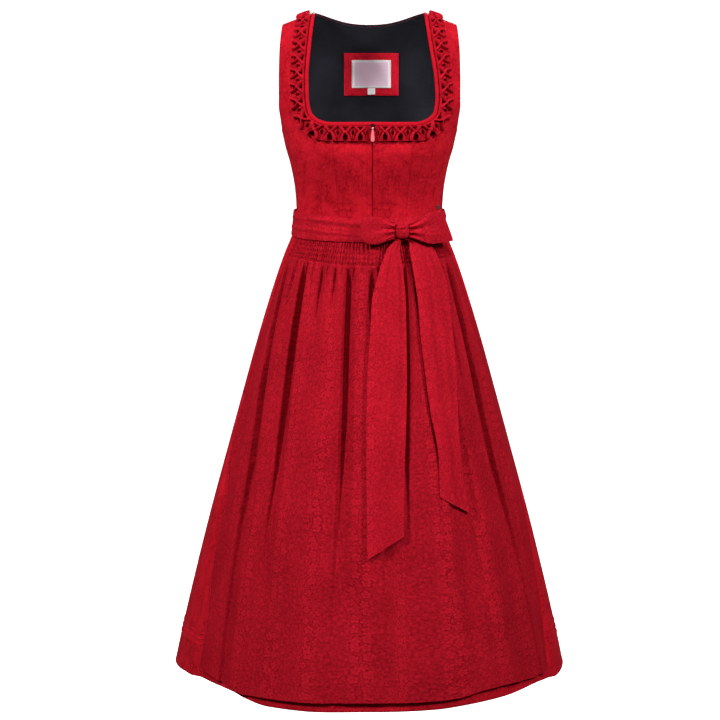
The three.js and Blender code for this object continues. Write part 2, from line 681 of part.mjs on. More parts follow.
// Black lining inside the back, from the neckline to the waist seam
{
  const edge = outerEdge(1, BACK_ARMHOLE).map(tuckedIn);
  const kept = LINING_EDGE_ROWS.map((i) => edge[i]).reverse();
  const centre = LINING_HEIGHTS.map((z) => locate(0, z)).reverse();
  const top = backTop(LINING_NECK_COLUMNS, BACK_SHOULDER_COLUMNS).map(tuckedIn);
  const places = panelPlaces(centre, kept, top.length - 1, top).map(mirrored);
  add('lining_back', panelWall(1, places, -LINING_DEPTH, -LINING_DEPTH - LINING_CLOTH), BLACK);
}

// Flat pieces laid inside the back: they stand in from the lining and face the neck opening.
function laidInside(name, piece, depth, thickness, finish) {
  const outer = [];
  const inner = [];
  for (let r = 0; r <= 4; r++) {
    const z = piece.z + piece.height * (0.5 - r / 4);
    const places = [];
    for (let c = 0; c <= 4; c++) places.push(locate(piece.x + piece.width * (0.5 - c / 4), z));
    outer.push(places.map((place) => bodicePoint(1, place, -depth)));
    inner.push(places.map((place) => bodicePoint(1, place, -depth - thickness)));
  }
  add(name, wall(outer, inner), finish);
}
const PATCH_DEPTH = LINING_DEPTH + LINING_CLOTH + PATCH_GAP;
const LABEL_DEPTH = PATCH_DEPTH + LABEL_CLOTH + LABEL_GAP;
laidInside('label_patch', PATCH, PATCH_DEPTH, LABEL_CLOTH, RED);
laidInside('label', LABEL, LABEL_DEPTH, LABEL_CLOTH, PALE);
laidInside('size_tab', SIZE_TAB, LABEL_DEPTH, LABEL_CLOTH, PALE);

// Neckline

// Evenly spaced frames along the seam that holds the edge binding: place on the surface, and the direction
// across it that leads away from the neck opening.
function neckFrames(face, placeAt, count, from, to) {
  const samples = 240;
  const places = [];
  for (let i = 0; i <= samples; i++) places.push(placeAt(i / samples));
  const points = places.map(({ angle, fall }) => bodyPoint(face, angle, fall));
  const along = shares(points);
  const frames = [];
  for (let i = 0; i <= count; i++) {
    const share = lerp(from, to, i / count);
    let k = 0;
    while (k < samples - 1 && along[k + 1] < share) k++;
    const s = (share - along[k]) / (along[k + 1] - along[k]);
    const place = {
      angle: lerp(places[k].angle, places[k + 1].angle, s),
      fall: lerp(places[k].fall, places[k + 1].fall, s),
    };
    const ahead = points[Math.min(k + 3, samples)].clone().sub(points[Math.max(k - 2, 0)]).normalize();
    frames.push({ place, across: new THREE.Vector3().crossVectors(ahead, bodyNormal(face, place)).normalize() });
  }
  return frames;
}

// Smooth curve through the rows of the neck seam, from the shoulder to the closing line.
function neckSeamPlace(side) {
  const rows = [...NECK_SEAM].reverse();
  const points = rows.map(({ z, out }) => {
    const height = z === 'shoulder' ? shoulderTop(out) : z;
    return new THREE.Vector3(side * out + CENTRE_FRONT_X * frontShift(z), 0, height);
  });
  points.push(new THREE.Vector3(CENTRE_FRONT_X + side * 40, 0, FRONT_TOP_Z));
  points.push(new THREE.Vector3(CENTRE_FRONT_X + side * SEAM_GAP, 0, FRONT_TOP_Z));
  const curve = new THREE.CatmullRomCurve3(points, false, 'centripetal');
  return (t) => {
    const { x, z } = curve.getPoint(t);
    return t === 0 ? locate(x, 'shoulder') : locate(x, Math.min(z, shoulderTop(x)));
  };
}

// The panels' own corners along the neckline, which the binding follows.
function panelEdgePlaces(side) {
  const strap = [...NECK_SEAM].reverse().map((row) => frontPlace(side, row, 0));
  const bottom = [];
  for (let c = 1; c <= FRONT_CENTRE_COLUMNS; c++) {
    const seam = frontPlace(side, FRONT_PRINCESS.at(-1), -SEAM_GAP / 2);
    const closing = frontPlace(side, { z: FRONT_TOP_Z, out: 0 }, SEAM_GAP / 2);
    bottom.push({
      angle: lerp(seam.angle, closing.angle, c / FRONT_CENTRE_COLUMNS),
      fall: lerp(seam.fall, closing.fall, c / FRONT_CENTRE_COLUMNS),
    });
  }
  return [...strap, ...bottom];
}

// Frames through a row of places, with the direction across the row at each.
function edgeFrames(face, places) {
  const points = places.map(({ angle, fall }) => bodyPoint(face, angle, fall));
  return places.map((place, i) => {
    const ahead = points[Math.min(i + 1, points.length - 1)].clone().sub(points[Math.max(i - 1, 0)]);
    return { place, across: ahead.cross(bodyNormal(face, place)).normalize() };
  });
}

function neckLength(side) {
  const place = neckSeamPlace(side);
  let length = 0;
  let last = bodyPoint(-1, place(0).angle, place(0).fall);
  for (let i = 1; i <= 240; i++) {
    const { angle, fall } = place(i / 240);
    const next = bodyPoint(-1, angle, fall);
    length += next.distanceTo(last);
    last = next;
  }
  return length;
}

// Strip along the neck seam between two distances across it, as rows from the opening outwards.
function neckStrip(face, frames, side, from, to, rows, offsetAt) {
  const strip = [];
  for (let r = 0; r <= rows; r++) {
    const distance = lerp(from, to, r / rows);
    strip.push(frames.map(({ place, across }, i) => {
      const away = across.clone().multiplyScalar(-side);
      const reached = distance === 0 ? place : walk(face, place, away, distance);
      if (place.fall === 0) reached.fall = 0;
      return bodicePoint(face, reached, offsetAt(i, r / rows));
    }));
  }
  return strip;
}

// Rows from the opening outwards run left to right only on one side, so the other is turned round.
function turned(side, strip) {
  return side < 0 ? strip : strip.map((row) => [...row].reverse());
}

// Height of the pinched trim over its base: ridges cross in an X and the mouths between them stay low.
function pinch(along, across) {
  const u = Math.abs(2 * (along - Math.floor(along)) - 1);
  const v = Math.abs(2 * across - 1);
  const ridge = 1 - Math.min(Math.abs(u - v) / 0.5, 1);
  const rim = v > 0.9 ? 0.45 : 1;
  return lerp(TRIM_LOW, TRIM_HIGH, ridge * rim);
}

for (const side of [-1, 1]) {
  const hand = side < 0 ? 'right' : 'left';
  const frames = edgeFrames(-1, panelEdgePlaces(side));
  const binding = (offset) => {
    const strip = neckStrip(-1, frames, side, -BINDING_WIDTH, -SEAM_GAP, 1, () => offset);
    return turned(side, strip);
  };
  add(`neck_binding_${hand}`, wall(binding(0), binding(-CLOTH)), TRIM_RED);

  const place = neckSeamPlace(side);
  const end = 1 - TRIM_END_GAP / neckLength(side);
  const fine = neckFrames(-1, place, TRIM_UNITS * TRIM_STEPS, 0, end);
  const coarse = neckFrames(-1, place, TRIM_UNITS * 2, 0, end);
  const near = TRIM_START;
  const far = TRIM_START + TRIM_WIDTH;
  const relief = (i, across) => LAID_GAP + pinch(i / TRIM_STEPS, across);
  const ruffle = neckStrip(-1, fine, side, near, far, TRIM_STEPS, relief);
  const base = neckStrip(-1, coarse, side, near, far, TRIM_BASE_ROWS, () => LAID_GAP);
  add(`neck_trim_${hand}`, wall(turned(side, ruffle), turned(side, base)), TRIM_RED);
}

// Narrow binding over the back neck edge, from shoulder to shoulder
{
  const top = mirrored(backTop(BACK_NECK_COLUMNS, 1).slice(0, -1));
  const edge = (rise, offset) => {
    const points = top.map((place, i) => {
      const point = bodicePoint(1, place, offset);
      const up = new THREE.Vector3(0, BACK_BINDING_LEAN.y, BACK_BINDING_LEAN.z);
      if (i === 0 || i === top.length - 1) up.set(-Math.sign(point.x), 0, 0);
      return point.addScaledVector(up.normalize(), rise);
    });
    return points.reverse();
  };
  const outside = [edge(BACK_BINDING_WIDTH, 0), edge(SEAM_GAP, 0)];
  const inside = [edge(BACK_BINDING_WIDTH, -CLOTH), edge(SEAM_GAP, -CLOTH)];
  add('neck_binding_back', wall(outside, inside), TRIM_RED);
}

// Zip: tape behind the closing line, slider and pull tab at its top
function frontSurface(x, z, offset) {
  return bodicePoint(-1, locate(x, z), offset);
}

{
  const tape = (offset) => {
    const rows = [];
    for (let r = 0; r <= 6; r++) {
      const z = lerp(ZIP_TOP_Z, ZIP_BOTTOM_Z, r / 6);
      const row = [];
      for (let c = -1; c <= 1; c++) row.push(frontSurface(CENTRE_FRONT_X + c * ZIP_TAPE_HALF, z, offset));
      rows.push(row);
    }
    return rows;
  };
  add('zip_tape', wall(tape(-CLOTH - INSIDE_GAP), tape(-CLOTH - INSIDE_GAP - 1)), RED);
}

const wasm = await Module();
wasm.setup();

function toSolid(geometry) {
  const bare = geometry.index ? geometry.clone() : geometry;
  bare.deleteAttribute('normal');
  bare.deleteAttribute('uv');
  const merged = mergeVertices(bare, 1e-4);
  return new wasm.Manifold(new wasm.Mesh({
    numProp: 3,
    vertProperties: new Float32Array(merged.attributes.position.array),
    triVerts: new Uint32Array(merged.index.array),
  }));
}

function fromSolid(solid) {
  const { vertProperties, triVerts } = solid.getMesh();
  const geometry = new THREE.BufferGeometry();
  geometry.setAttribute('position', new THREE.BufferAttribute(new Float32Array(vertProperties), 3));
  geometry.setIndex(new THREE.BufferAttribute(new Uint32Array(triVerts), 1));
  return geometry;
}

function joined(pieces) {
  return fromSolid(pieces.map(toSolid).reduce((sum, piece) => sum.add(piece)));
}

// Round bar or tube along X, centred on a point.
function alongX(radius, hole, length, y, z) {
  const outline = new THREE.Shape();
  outline.absarc(0, 0, radius, 0, 2 * Math.PI, false);
  if (hole > 0) outline.holes.push(new THREE.Path().absarc(0, 0, hole, 0, 2 * Math.PI, true));
  const bar = new THREE.ExtrudeGeometry(outline, { depth: length, bevelEnabled: false, curveSegments: 6 });
  bar.rotateY(Math.PI / 2);
  bar.translate(CENTRE_FRONT_X - length / 2, y, z);
  return bar;
}

function block(width, depth, height, x, y, z) {
  return new THREE.BoxGeometry(width, depth, height).translate(x, y, z);
}

{
  const seat = frontSurface(CENTRE_FRONT_X, SLIDER.z, 0);
  const pivotY = seat.y - TAB_PIVOT.out;
  const bodyY = seat.y - SLIDER.out;
  const cheekX = KNUCKLE_LENGTH / 2 + CHEEK.gap + CHEEK.width / 2;
  const cheekDepth = bodyY - pivotY + KNUCKLE_RADIUS;
  const cheekY = (bodyY + pivotY - KNUCKLE_RADIUS) / 2;
  const cheekZ = TAB_PIVOT.z;
  const pieces = [
    block(SLIDER.width, SLIDER.depth, SLIDER.height, CENTRE_FRONT_X, bodyY, SLIDER.z - 2),
    alongX(PIN_RADIUS, 0, 2 * cheekX, pivotY, TAB_PIVOT.z),
  ];
  for (const side of [-1, 1]) {
    pieces.push(block(CHEEK.width, cheekDepth, 2.6, CENTRE_FRONT_X + side * cheekX, cheekY, cheekZ));
  }
  add('zip_slider', joined(pieces), SILVER);

  // Drop-shaped tab that hangs from the slider's pin and swings up and forward
  const drop = new THREE.Shape();
  const neck = KNUCKLE_LENGTH / 2;
  const bulb = TAB_WIDTH / 2;
  drop.moveTo(neck, -KNUCKLE_HOLE - 0.3);
  drop.lineTo(-neck, -KNUCKLE_HOLE - 0.3);
  drop.bezierCurveTo(-neck, -TAB_LENGTH * 0.35, -bulb, -TAB_LENGTH * 0.5, -bulb, -TAB_LENGTH + bulb);
  drop.absarc(0, -TAB_LENGTH + bulb, bulb, Math.PI, 2 * Math.PI, false);
  drop.bezierCurveTo(bulb, -TAB_LENGTH * 0.5, neck, -TAB_LENGTH * 0.35, neck, -KNUCKLE_HOLE - 0.3);
  const plate = new THREE.ExtrudeGeometry(drop, { depth: TAB_THICKNESS, bevelEnabled: false, curveSegments: 6 });
  plate.rotateX(Math.PI / 2);
  plate.translate(CENTRE_FRONT_X, pivotY + TAB_THICKNESS / 2, TAB_PIVOT.z);
  const knuckle = alongX(KNUCKLE_RADIUS, KNUCKLE_HOLE, KNUCKLE_LENGTH, pivotY, TAB_PIVOT.z);
  add('zip_tab', joined([plate, knuckle]), GLOSS_RED);
}

// Small bare metal badge above the band
{
  const seat = frontSurface(BADGE.x, BADGE.z, 0);
  const normal = bodyNormal(-1, locate(BADGE.x, BADGE.z));
  const plate = new THREE.BoxGeometry(BADGE.width, BADGE.height, BADGE.thickness);
  const turn = new THREE.Matrix4().lookAt(normal, new THREE.Vector3(), new THREE.Vector3(0, 0, 1));
  plate.applyMatrix4(turn);
  seat.addScaledVector(normal, LAID_GAP + BADGE.thickness / 2);
  plate.translate(seat.x, seat.y, seat.z);
  add('side_badge', plate, SILVER);
}

// Skirt and apron

// Uneven number between -1 and 1, the same on every run.
function uneven(index, seed) {
  const wave = Math.sin(index * 12.9898 + seed * 78.233) * 43758.5453;
  return 2 * (wave - Math.floor(wave)) - 1;
}

const backFolds = [];
for (let i = 0; i < BACK_FOLDS; i++) {
  const angle = 90 + ((i + 0.5) * 180) / BACK_FOLDS + 2 * uneven(i, 1);
  backFolds.push({
    top: angle,
    middle: angle + uneven(i, 2),
    hem: angle + 1.5 * uneven(i, 3),
    width: 5.2 + 0.8 * uneven(i, 4),
    depth: 11 + 4 * uneven(i, 5),
    from: -430,
    deepest: -620 + 60 * uneven(i, 6),
    keep: 0.7 + 0.25 * uneven(i, 7),
  });
}
const allFolds = [...FRONT_FOLDS, ...backFolds];

// Angle of a fold at a height: a smooth curve through its three stated angles.
function foldAngle({ top, middle, hem }, z) {
  if (z > FOLD_MIDDLE_Z) return lerp(middle, top, (z - FOLD_MIDDLE_Z) / (FOLD_TOP_Z - FOLD_MIDDLE_Z));
  return lerp(hem, middle, (z - HEM_Z) / (FOLD_MIDDLE_Z - HEM_Z));
}

function foldDepth(degrees, z) {
  let depth = 0;
  for (const fold of allFolds) {
    const turn = ((degrees - foldAngle(fold, z) + 540) % 360) - 180;
    const share = Math.abs(turn) / fold.width;
    if (share >= 1) continue;
    const start = smoothstep(-z, -fold.from, -fold.deepest);
    const end = lerp(1, fold.keep, smoothstep(-z, -fold.deepest, -HEM_Z));
    depth += fold.depth * start * end * Math.cos((share * Math.PI) / 2) ** 2;
  }
  return depth;
}

const apronLeft = column(APRON_EDGES, 'z', 'left');
const apronRight = column(APRON_EDGES, 'z', 'right');
const underApron = column(UNDER_APRON, 'z', 'inset');

function gatherDepth(degrees, z) {
  const fade = smoothstep(-z, -GATHER.from, -GATHER.from + 30) * (1 - smoothstep(-z, 450, -GATHER.to));
  return GATHER.depth * fade * (0.5 - 0.5 * Math.cos((2 * Math.PI * degrees) / GATHER.pitch));
}

// Signed angle between -180 and 180 degrees.
function signed(degrees) {
  return ((degrees + 540) % 360) - 180;
}

// How far the skirt lies in from the outline: under the apron it is smooth and clear of the folds above it.
function skirtInset(degrees, z) {
  const turn = signed(degrees);
  const beyond = turn < 0 ? apronLeft(z) - turn : turn - apronRight(z);
  const covered = 1 - smoothstep(beyond, 0, UNDER_APRON_EASE);
  return lerp(foldDepth(degrees, z) + gatherDepth(degrees, z), underApron(z), covered);
}

const skirtDrop = column(HEM_DROPS, 'angle', 'skirt');
const apronDrop = column(HEM_DROPS, 'angle', 'apron');

// Height of a row that follows the uneven hem.
function hungZ(degrees, z, drop) {
  return z + drop(signed(degrees)) * smoothstep(-z, -HEM_EASE_Z, -APRON_HEM_Z);
}

function skirtPoint(degrees, levelZ, out, face) {
  const z = hungZ(degrees, levelZ, skirtDrop);
  const point = ringPoint(skirtSection, degrees * DEGREE, z, out - skirtInset(degrees, z));
  point.y += (face * SEAM_GAP) / 2;
  return point;
}

function skirtWall(angles, face) {
  const plainRows = [...SKIRT_HEIGHTS, HEM_Z];
  const outerRows = SKIRT_HEIGHTS.map((z) => ({ z, out: 0 }));
  for (const z of TUCK_HEIGHTS) outerRows.push({ z, out: TUCK_DEPTH }, { z: z - TUCK_STEP, out: 0 });
  outerRows.push({ z: HEM_Z, out: 0 });
  const outer = outerRows.map(({ z, out }) => angles.map((degrees) => skirtPoint(degrees, z, out, face)));
  const inner = plainRows.map((z) => angles.map((degrees) => skirtPoint(degrees, z, -SKIRT_CLOTH, face)));
  return wall(outer, inner);
}

{
  const step = 180 / SKIRT_BACK_COLUMNS;
  const back = [];
  for (let c = 0; c <= SKIRT_BACK_COLUMNS; c++) back.push(90 + c * step);
  const front = [];
  const inner = 90 - SKIRT_SIDE_COLUMNS * step;
  for (let c = 0; c < SKIRT_SIDE_COLUMNS; c++) front.push(-90 + c * step);
  for (let c = 0; c <= SKIRT_FRONT_COLUMNS; c++) front.push(lerp(-inner, inner, c / SKIRT_FRONT_COLUMNS));
  for (let c = 1; c <= SKIRT_SIDE_COLUMNS; c++) front.push(inner + c * step);
  add('skirt_front', skirtWall(front, -1), RED);
  add('skirt_back', skirtWall(back, 1), RED);
}

const bandTop = column(BAND_EDGES, 'angle', 'top');
const bandBottom = column(BAND_EDGES, 'angle', 'bottom');

{
  const apronPoint = (share, levelZ, out) => {
    const degrees = lerp(apronLeft(levelZ), apronRight(levelZ), share);
    const z = hungZ(degrees, levelZ, apronDrop);
    return ringPoint(skirtSection, degrees * DEGREE, z, out - foldDepth(degrees, z));
  };
  const headPoint = (share, down, out) => {
    const degrees = Math.abs(lerp(apronLeft(-405), apronRight(-405), share));
    const height = HEAD_HEIGHT * lerp(1, HEAD_SIDE_SHARE, smoothstep(degrees, 5, 50));
    return apronPoint(share, bandBottom(degrees) - SEAM_GAP - height * down, out);
  };
  const outer = [];
  const inner = [];
  for (const { down, rib, full } of HEAD_ROWS) {
    const ribs = [];
    for (let c = 0; c <= 2 * HEAD_RIBS; c++) {
      ribs.push(headPoint(c / (2 * HEAD_RIBS), down, c % 2 === 0 ? full - rib : full));
    }
    outer.push(ribs);
    const plain = [];
    for (let c = 0; c <= APRON_COLUMNS; c++) plain.push(headPoint(c / APRON_COLUMNS, down, -SKIRT_CLOTH - 1.6));
    if (down === 0 || down === 1) inner.push(plain);
  }
  for (const z of APRON_HEIGHTS) {
    const shell = (out) => {
      const row = [];
      for (let c = 0; c <= APRON_COLUMNS; c++) row.push(apronPoint(c / APRON_COLUMNS, z, out));
      return row;
    };
    outer.push(shell(0));
    inner.push(shell(-SKIRT_CLOTH));
  }
  add('apron', wall(outer, inner), APRON_RED);
}

// Tie band round the waist
for (const face of [-1, 1]) {
  const columns = 20;
  const start = face < 0 ? -90 : 90;
  const row = (down, out) => {
    const points = [];
    for (let c = 0; c <= columns; c++) {
      const degrees = start + (c * 180) / columns;
      const turn = Math.abs(signed(degrees));
      const point = ringPoint(bandSection, degrees * DEGREE, lerp(bandTop(turn), bandBottom(turn), down), out);
      point.y += (face * SEAM_GAP) / 2;
      points.push(point);
    }
    return points;
  };
  const creases = BAND_CREASES.length - 1;
  const outer = BAND_CREASES.map((rise, r) => row(r / creases, BAND_CLOTH + rise));
  add(face < 0 ? 'band_front' : 'band_back', wall(outer, [row(0, 0), row(1, 0)]), APRON_RED);
}

// Bow

// Front face of the band, where the bow sits.
function bandFront(x, z) {
  const { half, front, round } = bandSection(z);
  const share = Math.min(Math.abs(x) / half, 0.995);
  return -front * (1 - share ** round) ** (1 / round) - BAND_CLOTH - 1.6;
}

{
  const centreY = bandFront(KNOT.x, KNOT.z) - KNOT.depth / 2 - KNOT.stand;
  const points = [new THREE.Vector2(0, -1)];
  for (let r = 1; r < KNOT.rings; r++) {
    const turn = (r / KNOT.rings) * Math.PI;
    const cosine = Math.cos(turn);
    const radius = Math.sin(turn) ** KNOT.girth;
    points.push(new THREE.Vector2(radius, -Math.sign(cosine) * Math.abs(cosine) ** KNOT.ends));
  }
  points.push(new THREE.Vector2(0, 1));
  const knot = new THREE.LatheGeometry(points, KNOT.sides);
  knot.rotateX(Math.PI / 2);
  knot.scale(KNOT.width / 2, KNOT.depth / 2, KNOT.height / 2);
  knot.translate(KNOT.x, centreY, KNOT.z);
  knot.deleteAttribute('uv');
  knot.deleteAttribute('normal');
  add('bow_knot', mergeVertices(knot, 1e-3), APRON_RED);
}

// Each loop is a strip that leaves the knot at the back, turns at its outer end and comes back in front.
for (const loop of LOOPS) {
  const half = loop.reach / 2;
  const sheet = (out) => {
    const rows = [];
    for (const high of LOOP_ROWS) {
      const row = [];
      for (let i = 0; i <= LOOP_STEPS; i++) {
        const turn = lerp(LOOP_MOUTH, -LOOP_MOUTH, i / LOOP_STEPS) * DEGREE;
        const along = half + half * Math.cos(turn);
        const share = along / loop.reach;
        const height = lerp(loop.knotHalf, loop.tipHalf, smoothstep(share, 0, LOOP_SPREAD));
        const slanted = along * (1 - loop.slant * high * share);
        const x = KNOT.x + loop.side * (loop.start + slanted + out * Math.cos(turn));
        const z = KNOT.z + high * height + loop.rise * share;
        const swell = LOOP_FLATNESS * (0.55 + 0.45 * share);
        const y = bandFront(KNOT.x + loop.side * (loop.start + along * 0.8), KNOT.z) - loop.lift;
        row.push(new THREE.Vector3(x, y + (swell + out) * Math.sin(turn), z));
      }
      rows.push(loop.side < 0 ? row : row.reverse());
    }
    return rows;
  };
  add(loop.name, wall(sheet(LOOP_CLOTH / 2), sheet(-LOOP_CLOTH / 2)), APRON_RED);
}

// Tails lie down the front of the apron, each with one soft crease along it.
function tailWall(rows) {
  const sheet = (out) => rows.map(({ leftX, leftZ, rightX, rightZ, lift, crease }) => {
    const row = [];
    for (let c = 0; c <= TAIL_COLUMNS; c++) {
      const share = c / TAIL_COLUMNS;
      const x = lerp(leftX, rightX, share);
      const z = lerp(leftZ, rightZ, share);
      const fold = CREASE_DEPTH * Math.exp(-(((share - crease) / 0.16) ** 2));
      row.push(new THREE.Vector3(x, outlineFront(x, z) - lift - fold - out, z));
    }
    return row;
  });
  return wall(sheet(TAIL_CLOTH), sheet(0));
}
add('bow_tail_left', tailWall(TAIL_LEFT), APRON_RED);
add('bow_tail_right', tailWall(TAIL_RIGHT), APRON_RED);

export default dirndl;
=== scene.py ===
"""Sleeveless dirndl with a tied apron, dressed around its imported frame. Its tables are in millimetres."""

import math

import bpy
import numpy as np
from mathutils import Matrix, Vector


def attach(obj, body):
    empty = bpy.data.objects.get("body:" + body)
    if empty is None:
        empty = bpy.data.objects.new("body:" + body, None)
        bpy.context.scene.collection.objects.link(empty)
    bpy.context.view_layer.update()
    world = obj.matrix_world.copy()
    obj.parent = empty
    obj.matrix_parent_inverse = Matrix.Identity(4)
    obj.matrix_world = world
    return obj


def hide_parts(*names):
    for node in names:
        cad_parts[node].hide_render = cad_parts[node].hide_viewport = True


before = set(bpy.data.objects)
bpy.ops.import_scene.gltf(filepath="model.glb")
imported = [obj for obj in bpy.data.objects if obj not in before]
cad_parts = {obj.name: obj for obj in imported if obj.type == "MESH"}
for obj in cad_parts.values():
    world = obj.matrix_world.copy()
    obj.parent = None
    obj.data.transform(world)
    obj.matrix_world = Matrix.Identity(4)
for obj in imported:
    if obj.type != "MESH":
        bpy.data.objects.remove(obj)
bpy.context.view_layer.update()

MM = 0.001
GARMENT = "garment"
HANDS = ((-1, "right"), (1, "left"))

# Cloth and gaps
CLOTH = 1.8
SKIRT_CLOTH = 2.0
LINING_CLOTH = 1.2
LINING_DEPTH = 3.4
SEAM_GAP = 0.3
LAID_GAP = 0.6

# Main lines
BUST_Z = -241
WAIST_Z = -384
HEM_Z = -1199
APRON_HEM_Z = -1186
NECK_POINT_X = 97
SHOULDER_SLOPE = 0.373
NECK_CROWN = 18
CENTRE_FRONT_X = 5
SHOULDER = math.nan

# z, half width, depth in front, depth behind, roundness
BODY_LEVELS = [
    (20, 172, 112, 104, 2.3),
    (-159, 171.5, 115, 104, 2.3),
    (-190, 164, 118, 101, 2.3),
    (-214, 157, 119, 99, 2.3),
    (-241, 151, 119, 97, 2.3),
    (-263, 144.5, 115, 94, 2.3),
    (-285, 139.5, 109, 91, 2.3),
    (-317, 134.5, 100, 88, 2.3),
    (-350, 132.5, 94, 87, 2.3),
    (-384, 133.5, 93, 88, 2.3),
]
SKIRT_LEVELS = [
    (-384, 135.5, 95.5, 90.5, 2.3),
    (-404, 143, 102, 98, 2.3),
    (-425, 152, 109, 106, 2.28),
    (-463, 166, 118.5, 116, 2.25),
    (-518, 184, 132, 130, 2.2),
    (-601, 209, 152, 150, 2.15),
    (-685, 232.5, 172, 170, 2.1),
    (-798, 264, 198, 196, 2.08),
    (-912, 295.5, 224, 222, 2.05),
    (-1027, 325, 250, 248, 2),
    (-1144, 353, 278, 276, 2),
    (-1199, 365, 290, 288, 2),
]
BAND_LEVELS = [
    (-350, 136, 97.5, 91, 2.3),
    (-384, 138.5, 99.9, 94.9, 2.3),
    (-404, 142.9, 102.3, 98.5, 2.3),
]
BAND_CLOTH = 2

# Band edges: degrees from the centre front, upper and lower edge
BAND_EDGES = [(0, -363.5, -403.2), (45, -357, -401), (90, -353, -396), (135, -350.5, -393), (180, -350, -391)]

# Lengthwise creases of the band: share of its height, rise, half width, degrees from and to
BAND_CREASES = [
    (0.22, 1.3, 0.07, -95, 62),
    (0.40, -0.5, 0.05, -60, 66),
    (0.52, 0.8, 0.05, -40, 66),
    (0.66, 1.5, 0.08, -100, 62),
    (0.84, 0.7, 0.05, -30, 60),
    (0.30, 1.1, 0.07, 72, 190),
    (0.62, 1.3, 0.08, 68, 170),
    (0.46, 0.9, 0.06, 185, 262),
    (0.74, 0.8, 0.06, 200, 275),
]

# Seams and edges of the panels: z, then the distance from the closing line in front or from the middle behind
FRONT_PRINCESS = [(-384, 60), (-350, 61), (-312, 63), (-276, 66), (-244, 70), (-222, 73), (-199.5, 76)]
FRONT_TOP_Z = -199.5
NECK_SEAM = [
    (-199.5, 76), (-197, 90), (-190, 104), (-177, 114), (-150, 118), (-112, 117),
    (-76, 113), (-45, 109), (-21, 106), (-7, 104.5), (SHOULDER, 104),
]
FRONT_ARMHOLE = [
    (-206, 157.5), (-197, 158.5), (-182, 160.5), (-155, 162), (-122, 162),
    (-92, 161.5), (-64, 160.5), (-42, 158.5), (-29, 157), (SHOULDER, 156),
]
SIDE_SEAM_HEIGHTS = [-384, -350, -312, -276, -248, -230, -214]
BACK_PRINCESS = [
    (-384, 56), (-350, 58), (-312, 63), (-276, 71), (-244, 82),
    (-215, 98), (-188, 116), (-165, 134), (-150, 148),
]
BACK_ARMHOLE = [
    (-203, 156), (-187, 152.5), (-168, 149.5), (-150, 148), (-112, 148.5),
    (-78, 151), (-52, 153.5), (-35, 155), (-26.5, 156), (SHOULDER, 156),
]
BACK_CENTRE_HEIGHTS = [-384, -350, -312, -276, -244, -215, -188, -165, -150, -120, -92, -66, -46, -33, -23]
BACK_NECK_DEPTH_Z = -23
LINING_HEIGHTS = [-382, -350, -312, -276, -244, -200, -165, -120, -92, -60, -36, -24]
LINING_EDGE_ROWS = [0, 1, 2, 3, 4, 6, 8, 10, 12, 13, 15, 16]
LINING_TUCK_ANGLE = 0.985
LINING_TUCK_FALL = 0.065

# Neckline
BINDING_WIDTH = 7
BACK_BINDING_WIDTH = 3.2
TRIM_START = 0.8
TRIM_WIDTH = 26
TRIM_UNITS = 13
TRIM_LOW = 0.2
TRIM_HIGH = 9.6
TRIM_END_GAP = 9
PINCH_LENGTH = 0.03

# Label and patch inside the back: x, z, width, height
PATCH = (4, -108, 102, 78)
LABEL = (4, -107, 73, 51)
SIZE_TAB = (4, -139, 14, 12)
PATCH_DEPTH = LINING_DEPTH + LINING_CLOTH + 1.3
LABEL_DEPTH = PATCH_DEPTH + 1.4

# Side edges of the apron: z, left and right degrees
APRON_EDGES = [
    (-405, -68, 70), (-460, -71, 73), (-540, -75, 77), (-620, -77, 81), (-700, -77, 84),
    (-787, -75, 84), (-874, -69, 78), (-1000, -63.5, 72), (-1119, -58.5, 67.5), (-1186, -58.5, 65),
]
HEAD_RIBS = 72
HEAD_HEIGHT = 40.5
HEAD_SIDE_SHARE = 0.85
HEAD_STITCH_ROWS = [0.05, 0.28, 0.52, 0.75, 0.97]

# How far the skirt lies inside the apron's outline
UNDER_APRON = [(-384, 5), (-425, 12), (-470, 21), (-540, 29), (-700, 31), (-900, 25), (-1050, 15), (-1199, 8)]
UNDER_APRON_EASE = 5

# How far the hems of skirt and apron rise at an angle, most at the hem and none above HEM_EASE_Z
HEM_EASE_Z = -1050
HEM_DROPS = [
    (-180, 0, 0), (-90, 2, 18), (-76, 7.5, 19), (-60, 12, 18), (-50, 10, 9.5), (-43, 6.5, 0),
    (-38, 0, -4.5), (-30, -7.5, -3.5), (-19, -8, -3), (0, -4, 0.8), (20, -5, -0.5), (26, -3.7, 0.8),
    (34, -2, 6.5), (42, -0.5, 8.5), (57, 4, 5.4), (70, 0, 5), (180, 0, 0),
]

# Main folds of the apron: degrees at the head, half way and at the hem, width of the left and right wall,
# depth, where it starts and is deepest, and the share of its depth left at the hem or, below 0, where it ends
MAIN_FOLDS = [
    (-65.6, -53.2, -47.2, 1.4, 4.6, 19, -428, -500, 0.35),
    (-44.5, -38.5, -36.5, 1.4, 5.4, 20, -430, -486, 0.06),
    (-28.5, -27, -25, 2.2, 3.4, 10, -434, -468, -600),
    (-19.3, -19.5, -20, 1.9, 2.6, 9, -436, -462, -560),
    (-11.8, -10.8, -11.4, 1.2, 6.2, 22, -435, -485, 0.12),
    (1, 4.5, 6, 1.8, 3.4, 15, -437, -480, 0.04),
    (19.4, 13.2, 10.5, 3.6, 1.3, 25, -424, -520, -960),
    (25.9, 27.6, 29, 1.7, 3.2, 26, -420, -470, -860),
    (38, 38.5, 41, 2.6, 4.2, 9, -436, -520, 0.10),
    (59.6, 57.5, 59.5, 4.6, 1.4, 19, -426, -500, 0.2),
]

